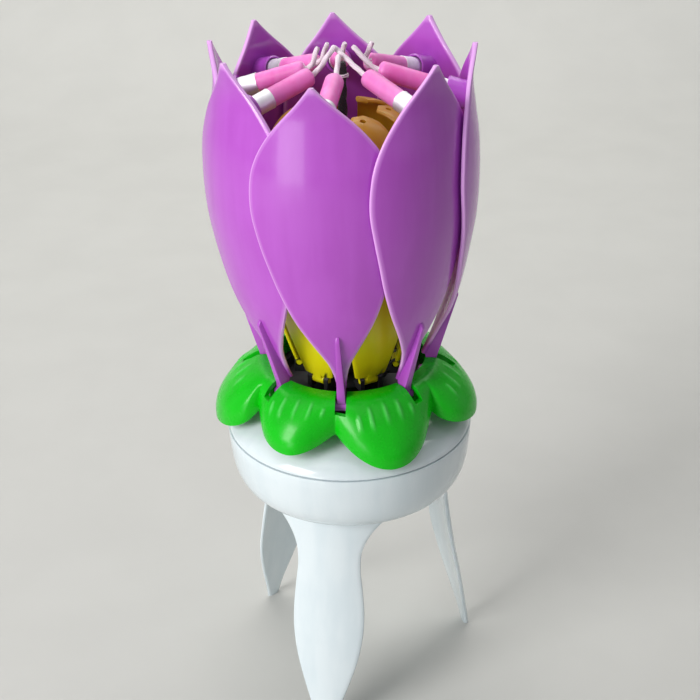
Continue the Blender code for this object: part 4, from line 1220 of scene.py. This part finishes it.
def leaf_place(azimuth):
    """Lobe at an azimuth, its share of the way out to the peak there, and the angle from the peak."""
    turn = (azimuth - LEAF_NOTCHES[0]) % 360.0 + LEAF_NOTCHES[0]
    number = int(np.searchsorted(LEAF_NOTCHES, turn, side="right")) - 1
    peak = LEAF_PEAKS[number]
    side = 0 if turn < peak else 1
    notch = (LEAF_NOTCHES, LEAF_ENDS)[side][number]
    share = max(0.0, math.cos(math.pi / 2 * (turn - peak) / (notch - peak)))
    return number, share ** LEAF_FLANKS[number][side], turn - peak


@functools.cache
def leaf_edges():
    """The notch's and the peak's profile as rows of (radius, height) from hub to rim."""
    steps = np.linspace(0.0, 5.0, LEAF_ROWS)
    return [
        np.array([[smooth(list(enumerate(axis)), s) for axis in zip(*edge)] for s in steps])
        for edge in (LEAF_NOTCH_EDGE, LEAF_LOBE_EDGE)
    ]


def leaf_profile(number, share):
    """Upper side of the collar at one azimuth, as rows of (radius, height) from hub to rim."""
    low, high = leaf_edges()
    line = low + (high - low) * share * LEAF_REACH[number]
    line[:, 1] -= LEAF_DROOP[number] * share * np.linspace(0.0, 1.0, LEAF_ROWS) ** 2
    return line


def leaf_azimuths():
    for start, peak, end in zip(LEAF_NOTCHES, LEAF_PEAKS, LEAF_ENDS):
        yield from np.linspace(start, peak, LEAF_FLANK_COLUMNS, endpoint=False)
        yield from np.linspace(peak, end, LEAF_FLANK_COLUMNS, endpoint=False)


def leaf_grids(wall, vein_height):
    outer = [[] for _ in range(LEAF_ROWS)]
    inner = [[] for _ in range(LEAF_ROWS)]
    thickness = [wall] * (LEAF_ROWS - 2) + [wall * share for share in LEAF_RIM]
    for azimuth in leaf_azimuths():
        number, share, turn = leaf_place(azimuth)
        line = leaf_profile(number, share)
        runs = np.gradient(line, axis=0)
        for i, (radius, height) in enumerate(line):
            run = runs[i] / np.linalg.norm(runs[i])
            sunk = (wall - thickness[i]) / 2
            top = vein_mask(turn, i / (LEAF_ROWS - 1)) * vein_height - sunk
            under = sunk + thickness[i]
            outer[i].append(around(azimuth, radius - run[1] * top, height + run[0] * top))
            inner[i].append(around(azimuth, radius + run[1] * under, height - run[0] * under))
    return outer, inner


def leaf_vein_highlight(point):
    """Mask of the painted highlight on the veins, from the place on the leaf."""
    number, share, turn = leaf_place(math.degrees(math.atan2(point.x, -point.y)))
    radii = leaf_profile(number, share)[:, 0]
    return vein_mask(turn, np.interp(math.hypot(point.x, point.y), radii, np.linspace(0.0, 1.0, LEAF_ROWS)))


class CANDLE_OT_leaf(bpy.types.Operator):
    """Green collar of drooping lobes with raised veins, slotted for the petals' ribs."""

    bl_idname = "candle.leaf"
    bl_label = "Leaf collar"

    def execute(self, context):
        settings = context.scene.candle_flower
        body = plate(*leaf_grids(settings.leaf_wall / MM, settings.vein_height / MM))
        slots = [box(*LEAF_SLOT, azimuth) for azimuth in azimuths(FRONT_PETAL_AZIMUTH, OUTER_PETALS)]
        piece(
            "leaf_collar_shell", fused(body, cut=slots), (leaf_material(),), "flower_head", ("leaf_collar",),
            sharp=50.0, edge=leaf_vein_highlight,
        )
        return {"FINISHED"}


# Drum and legs


def lower_housing(steps):
    """Drum with its battery tray, screw bosses, sound holes and sockets for the legs."""
    low, high = DRUM_FLOOR_Z, SEAM_Z - SEAM_HALF_GAP
    floor = low + DRUM_WALL
    outside = [*((r, low + z) for r, z in DRUM_SIDE), (31.7, high - 0.25), (31.6, high)]
    inside = [(r - DRUM_WALL, z) for r, z in outside[4:]]
    shell = lathe((*((0.0, low), *outside), *reversed(inside), (26.8, floor), (0.0, floor)), steps)
    joined = [box(*TRAY, CELL_AZIMUTH)]
    cuts = [box(*TRAY_HOLLOW, CELL_AZIMUTH)]
    for azimuth in azimuths(FRONT_SCREW_AZIMUTH, SCREWS):
        centre = around(azimuth, SCREW_CIRCLE_R, 0)[:2]
        joined.append(rod(BOSS_R, low + SUNK, BOSS_TOP_Z, 24, centre))
        cuts += [rod(radius, BELOW_Z, top, sides, centre) for radius, top, sides in SCREW_BORES]
    cuts += [box(*LEG_SOCKET, azimuth) for azimuth in azimuths(FRONT_LEG_AZIMUTH, LEGS)]
    for k in range(SOUND_HOLES):
        centre = around(60.0 * k, 0.0 if k == 0 else SOUND_CIRCLE_R, 0)[:2]
        cuts.append(rod(SOUND_HOLE_R, BELOW_Z, SOUND_TOP_Z, 16, centre))
    return fused(shell, joined, cuts)


def top_cover(steps):
    """Domed cover with a soft shoulder at the seam."""
    start = SEAM_Z + SEAM_HALF_GAP
    outside = [(r, start + z) for r, z in COVER_SIDE]
    return lathe((*outside, *COVER_COLLAR, *reversed(COVER_UNDERSIDE), (29.8, start)), steps)


def leg(wall):
    """Blade leg: flared at the drum, drawn in to a neck, full in the calf and narrow at the foot."""
    loops = []
    for rise in spread(LEG_ROWS, *LEG_ROW_SPREAD):
        height = LEG_CURVE[-1][0] * rise
        middle = smooth(LEG_CURVE, height)
        half = smooth(LEG_WIDTH, height) / 2

        def at(offset, depth):
            angle = offset / middle
            thick = wall * (1.0 - LEG_EDGE_THINNING * (offset / half) ** 2)
            radius = middle + thick * (0.5 - depth)
            return Vector((radius * math.cos(angle), radius * math.sin(angle), height))

        loops.append(blade_loop(at, half, LEG_COLUMNS, 1.0))
    return loft(loops)


class CANDLE_OT_base(bpy.types.Operator):
    """White drum, its domed cover and the three blade legs."""

    bl_idname = "candle.base"
    bl_label = "Drum and legs"

    def execute(self, context):
        settings = context.scene.candle_base
        shape = leg(settings.leg_wall / MM)
        parts = [
            ("lower_housing", "shell", lower_housing(settings.steps), None),
            ("top_cover", "shell", top_cover(settings.steps), None),
        ]
        for number, azimuth in enumerate(azimuths(FRONT_LEG_AZIMUTH, LEGS), 1):
            parts.append((f"leg_{number}", "blade", shape.copy(), azimuth))
        for name, form, bm, azimuth in parts:
            piece(f"{name}_{form}", bm, (white_material(),), "base", (name,), azimuth)
        shape.free()
        return {"FINISHED"}


# Fountain, fuse and thread


def fountain_tube():
    """Paper tube with a wound seam, a rounded mouth and a hollow for the fuse."""
    low, high = FOUNTAIN_Z
    turns, width, depth = PAPER_SEAM
    ring = circle(1.0, FOUNTAIN_SIDES)
    loops = []
    for i in range(FOUNTAIN_ROWS):
        s = i / (FOUNTAIN_ROWS - 1)
        loop = []
        for k, (x, y) in enumerate(ring):
            size = FOUNTAIN_R - (depth if (k / FOUNTAIN_SIDES + s * turns) % 1.0 < width else 0.0)
            loop.append((x * size, y * size, low + (high - MOUTH_DEPTH - low) * s))
        loops.append(loop)
    for r, under in FOUNTAIN_MOUTH:
        loops.append([(x * r, y * r, high - under) for x, y in ring])
    return loft(loops)


def tie_thread():
    """Thread wound round the fuse."""
    size = FUSE_R + THREAD_LIFT
    path = []
    for k in range(THREAD_STEPS + 1):
        a = math.tau * THREAD_TURNS * k / THREAD_STEPS
        path.append((size * math.cos(a), size * math.sin(a), THREAD_Z + THREAD_RISE * k / THREAD_STEPS))
    return strand(path, THREAD_R, 8, 2, 1.2)


class CANDLE_OT_fountain(bpy.types.Operator):
    """Fountain tube in the middle of the flower, its dark fuse and the tie thread round the fuse."""

    bl_idname = "candle.fountain"
    bl_label = "Fountain and thread"

    def execute(self, context):
        high = FOUNTAIN_Z[1]
        dark = plastic("fountain_paper", srgb(52, 30, 46), srgb(34, 18, 30), 0.5, cloud=0.8, peel=0.00006)
        tube = fountain_tube()
        piece("fountain_tube_wrap", tube, (dark,), "flower_head", ("fountain_tube",))
        path = ((0, 0, high - 2.7), (0.05, 0.05, high + 8), (-0.05, 0.0, high + 16), (0, 0, FUSE_TOP_Z))
        fuse = strand(path, FUSE_R, 18, 4, 0.7)
        # Dark coating of the fuse, partly painted shade round it, with painted shade between its strands.
        coated_and_shade = cotton("fuse_coating", srgb(40, 22, 34), srgb(14, 8, 12))
        piece("fountain_fuse_cord", fuse, (coated_and_shade,), "flower_head", ("fountain_fuse",))
        piece("tie_thread", tie_thread(), (wick_material(),), "flower_head", ())
        return {"FINISHED"}


# Finishes of the pieces kept from the solids


class CANDLE_OT_works(bpy.types.Operator):
    """Finishes of the hub, crown, drive and electric parts."""

    bl_idname = "candle.works"
    bl_label = "Hub and works"

    def execute(self, context):
        natural = plastic("works_plastic", srgb(224, 222, 212), srgb(206, 202, 188), 0.38, cloud=0.6)
        black = plastic("works_black_plastic", srgb(44, 44, 46), srgb(30, 30, 32), 0.42, cloud=0.6)
        board = plastic("board_laminate", srgb(48, 118, 74), srgb(30, 92, 56), 0.42, cloud=0.8)
        brass = metal("contact_sheet", srgb(214, 186, 120), srgb(176, 146, 88), 0.28)
        steel = metal("plated_steel_sheet", srgb(206, 206, 208), srgb(170, 170, 174), 0.25)
        finishes = (
            (leaf_material(), "petal_hub"), (white_material(), "battery_door"), (board, "circuit_board"),
            # Crown and pusher are black as painted shade in the gaps between the petals' feet; the chassis
            # plate shares this black plastic.
            (black, "petal_crown pusher chassis_plate"),
            (natural, "spindle spindle_gear idler_gear motor_pinion"),
            (brass, "contact_plus contact_minus switch_leaf sounder"),
            (steel, "motor idler_axle pusher_spring button_cell_1 button_cell_2 button_cell_3"),
            (steel, "cover_screw_1 cover_screw_2 cover_screw_3"),
        )
        for material, names in finishes:
            for name in names.split():
                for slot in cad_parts[name].material_slots:
                    slot.material = material
        return {"FINISHED"}


# Stage


def add_lamp(name, power):
    place, aim, sides, colour = LAMPS[name]
    data = bpy.data.lights.new(f"{name}_lamp", "AREA")
    data.shape = "RECTANGLE"
    data.size, data.size_y = sides
    data.energy = power
    data.color = colour
    made = add_object(data.name, data)
    made.location = place
    made.rotation_euler = (Vector(aim) - Vector(place)).to_track_quat("-Z", "Y").to_euler()


def add_floor(colour):
    """Floor that sweeps up behind the candle, in faintly clouded paper."""
    material, tree, shader = new_material("floor_paper")
    share = remapped(tree, cloudy(tree, scale=30.0, detail=4.0), 0.3, 0.7)
    deep = opaque(tuple(c * 0.97 for c in colour))
    fill(tree, shader, {"Base Color": mixed(tree, share, opaque(colour), deep), "Roughness": 0.7})
    start = FLOOR_BACK - FLOOR_SWEEP
    profile = [(-FLOOR_HALF, 0.0)]
    for step in range(FLOOR_STEPS + 1):
        a = math.radians(90.0 * step / FLOOR_STEPS)
        profile.append((start + FLOOR_SWEEP * math.sin(a), FLOOR_SWEEP * (1 - math.cos(a))))
    profile.append((FLOOR_BACK, FLOOR_HALF))
    bm = bmesh.new()
    rows = [[bm.verts.new(Vector((x, y, z)) * MM) for x in (-FLOOR_HALF, FLOOR_HALF)] for y, z in profile]
    for low, high in zip(rows, rows[1:]):
        bm.faces.new((low[0], low[1], high[1], high[0]))
    mesh = to_mesh(bm, "floor")
    mesh.materials.append(material)
    mesh.shade_smooth()
    floor = add_object("floor", mesh)


def add_room(sky, walls):
    """Even light of strength sky; the camera, reflections and glass see the room at strength walls."""
    world = bpy.data.worlds.new("room")
    world.use_nodes = True
    tree = world.node_tree
    rays = node(tree, "ShaderNodeLightPath", {}).outputs
    seen = computed(tree, "MAXIMUM", rays["Is Camera Ray"], rays["Is Glossy Ray"])
    seen = computed(tree, "MAXIMUM", seen, rays["Is Transmission Ray"])
    strength = node(tree, "ShaderNodeMapRange", {"Value": seen, "To Min": sky, "To Max": walls})
    fill(tree, tree.nodes["Background"], {"Color": ROOM_COLOUR, "Strength": strength.outputs["Result"]})
    bpy.context.scene.world = world


def add_camera(lens):
    data = bpy.data.cameras.new("camera")
    data.lens = lens
    data.sensor_width = 36.0
    data.clip_start = 0.01
    camera = add_object("camera", data)
    look = (Vector(CAMERA_AIM) - Vector(CAMERA_AT)).to_track_quat("-Z", "Y").to_matrix().to_4x4()
    roll = Matrix.Rotation(math.radians(CAMERA_ROLL), 4, "Z")
    camera.matrix_world = Matrix.Translation(Vector(CAMERA_AT)) @ look @ roll
    bpy.context.scene.camera = camera


class CANDLE_OT_stage(bpy.types.Operator):
    """Pale floor that sweeps up behind the candle, soft lamps and the camera."""

    bl_idname = "candle.stage"
    bl_label = "Stage"

    def execute(self, context):
        settings = context.scene.candle_stage
        add_floor(settings.floor)
        add_room(settings.sky, settings.walls)
        for name in LAMPS:
            add_lamp(name, getattr(settings, f"{name}_power"))
        add_camera(settings.lens)
        context.scene.view_settings.view_transform = "Standard"
        return {"FINISHED"}


class CANDLE_PT_panel(bpy.types.Panel):
    """Sidebar list of the candle's pieces and their sizes and colours."""

    bl_idname = "CANDLE_PT_panel"
    bl_label = "Musical birthday candle"
    bl_space_type = "VIEW_3D"
    bl_region_type = "UI"
    bl_category = "Candle"

    def draw(self, context):
        layout = self.layout
        for operator in OPERATORS:
            layout.operator(operator.bl_idname)
        for name in SETTINGS:
            settings = getattr(context.scene, name)
            part = layout.box()
            for key in settings.bl_rna.properties.keys():
                if key not in ("rna_type", "name"):
                    part.prop(settings, key)


SETTINGS = {
    "candle_flower": CANDLE_PG_flower, "candle_candles": CANDLE_PG_candles, "candle_base": CANDLE_PG_base,
    "candle_stage": CANDLE_PG_stage,
}
OPERATORS = (
    CANDLE_OT_outer_petals, CANDLE_OT_inner_petals, CANDLE_OT_candles, CANDLE_OT_leaf, CANDLE_OT_base,
    CANDLE_OT_fountain, CANDLE_OT_works, CANDLE_OT_stage,
)
CLASSES = (*SETTINGS.values(), *OPERATORS, CANDLE_PT_panel)


def register():
    for kind in CLASSES:
        bpy.utils.register_class(kind)
    for name, kind in SETTINGS.items():
        setattr(bpy.types.Scene, name, PointerProperty(type=kind))


def unregister():
    for name in SETTINGS:
        delattr(bpy.types.Scene, name)
    for kind in reversed(CLASSES):
        bpy.utils.unregister_class(kind)


def main():
    register()
    for operator in OPERATORS:
        section, name = operator.bl_idname.split(".")
        getattr(getattr(bpy.ops, section), name)()


if __name__ == "__main__":
    main()
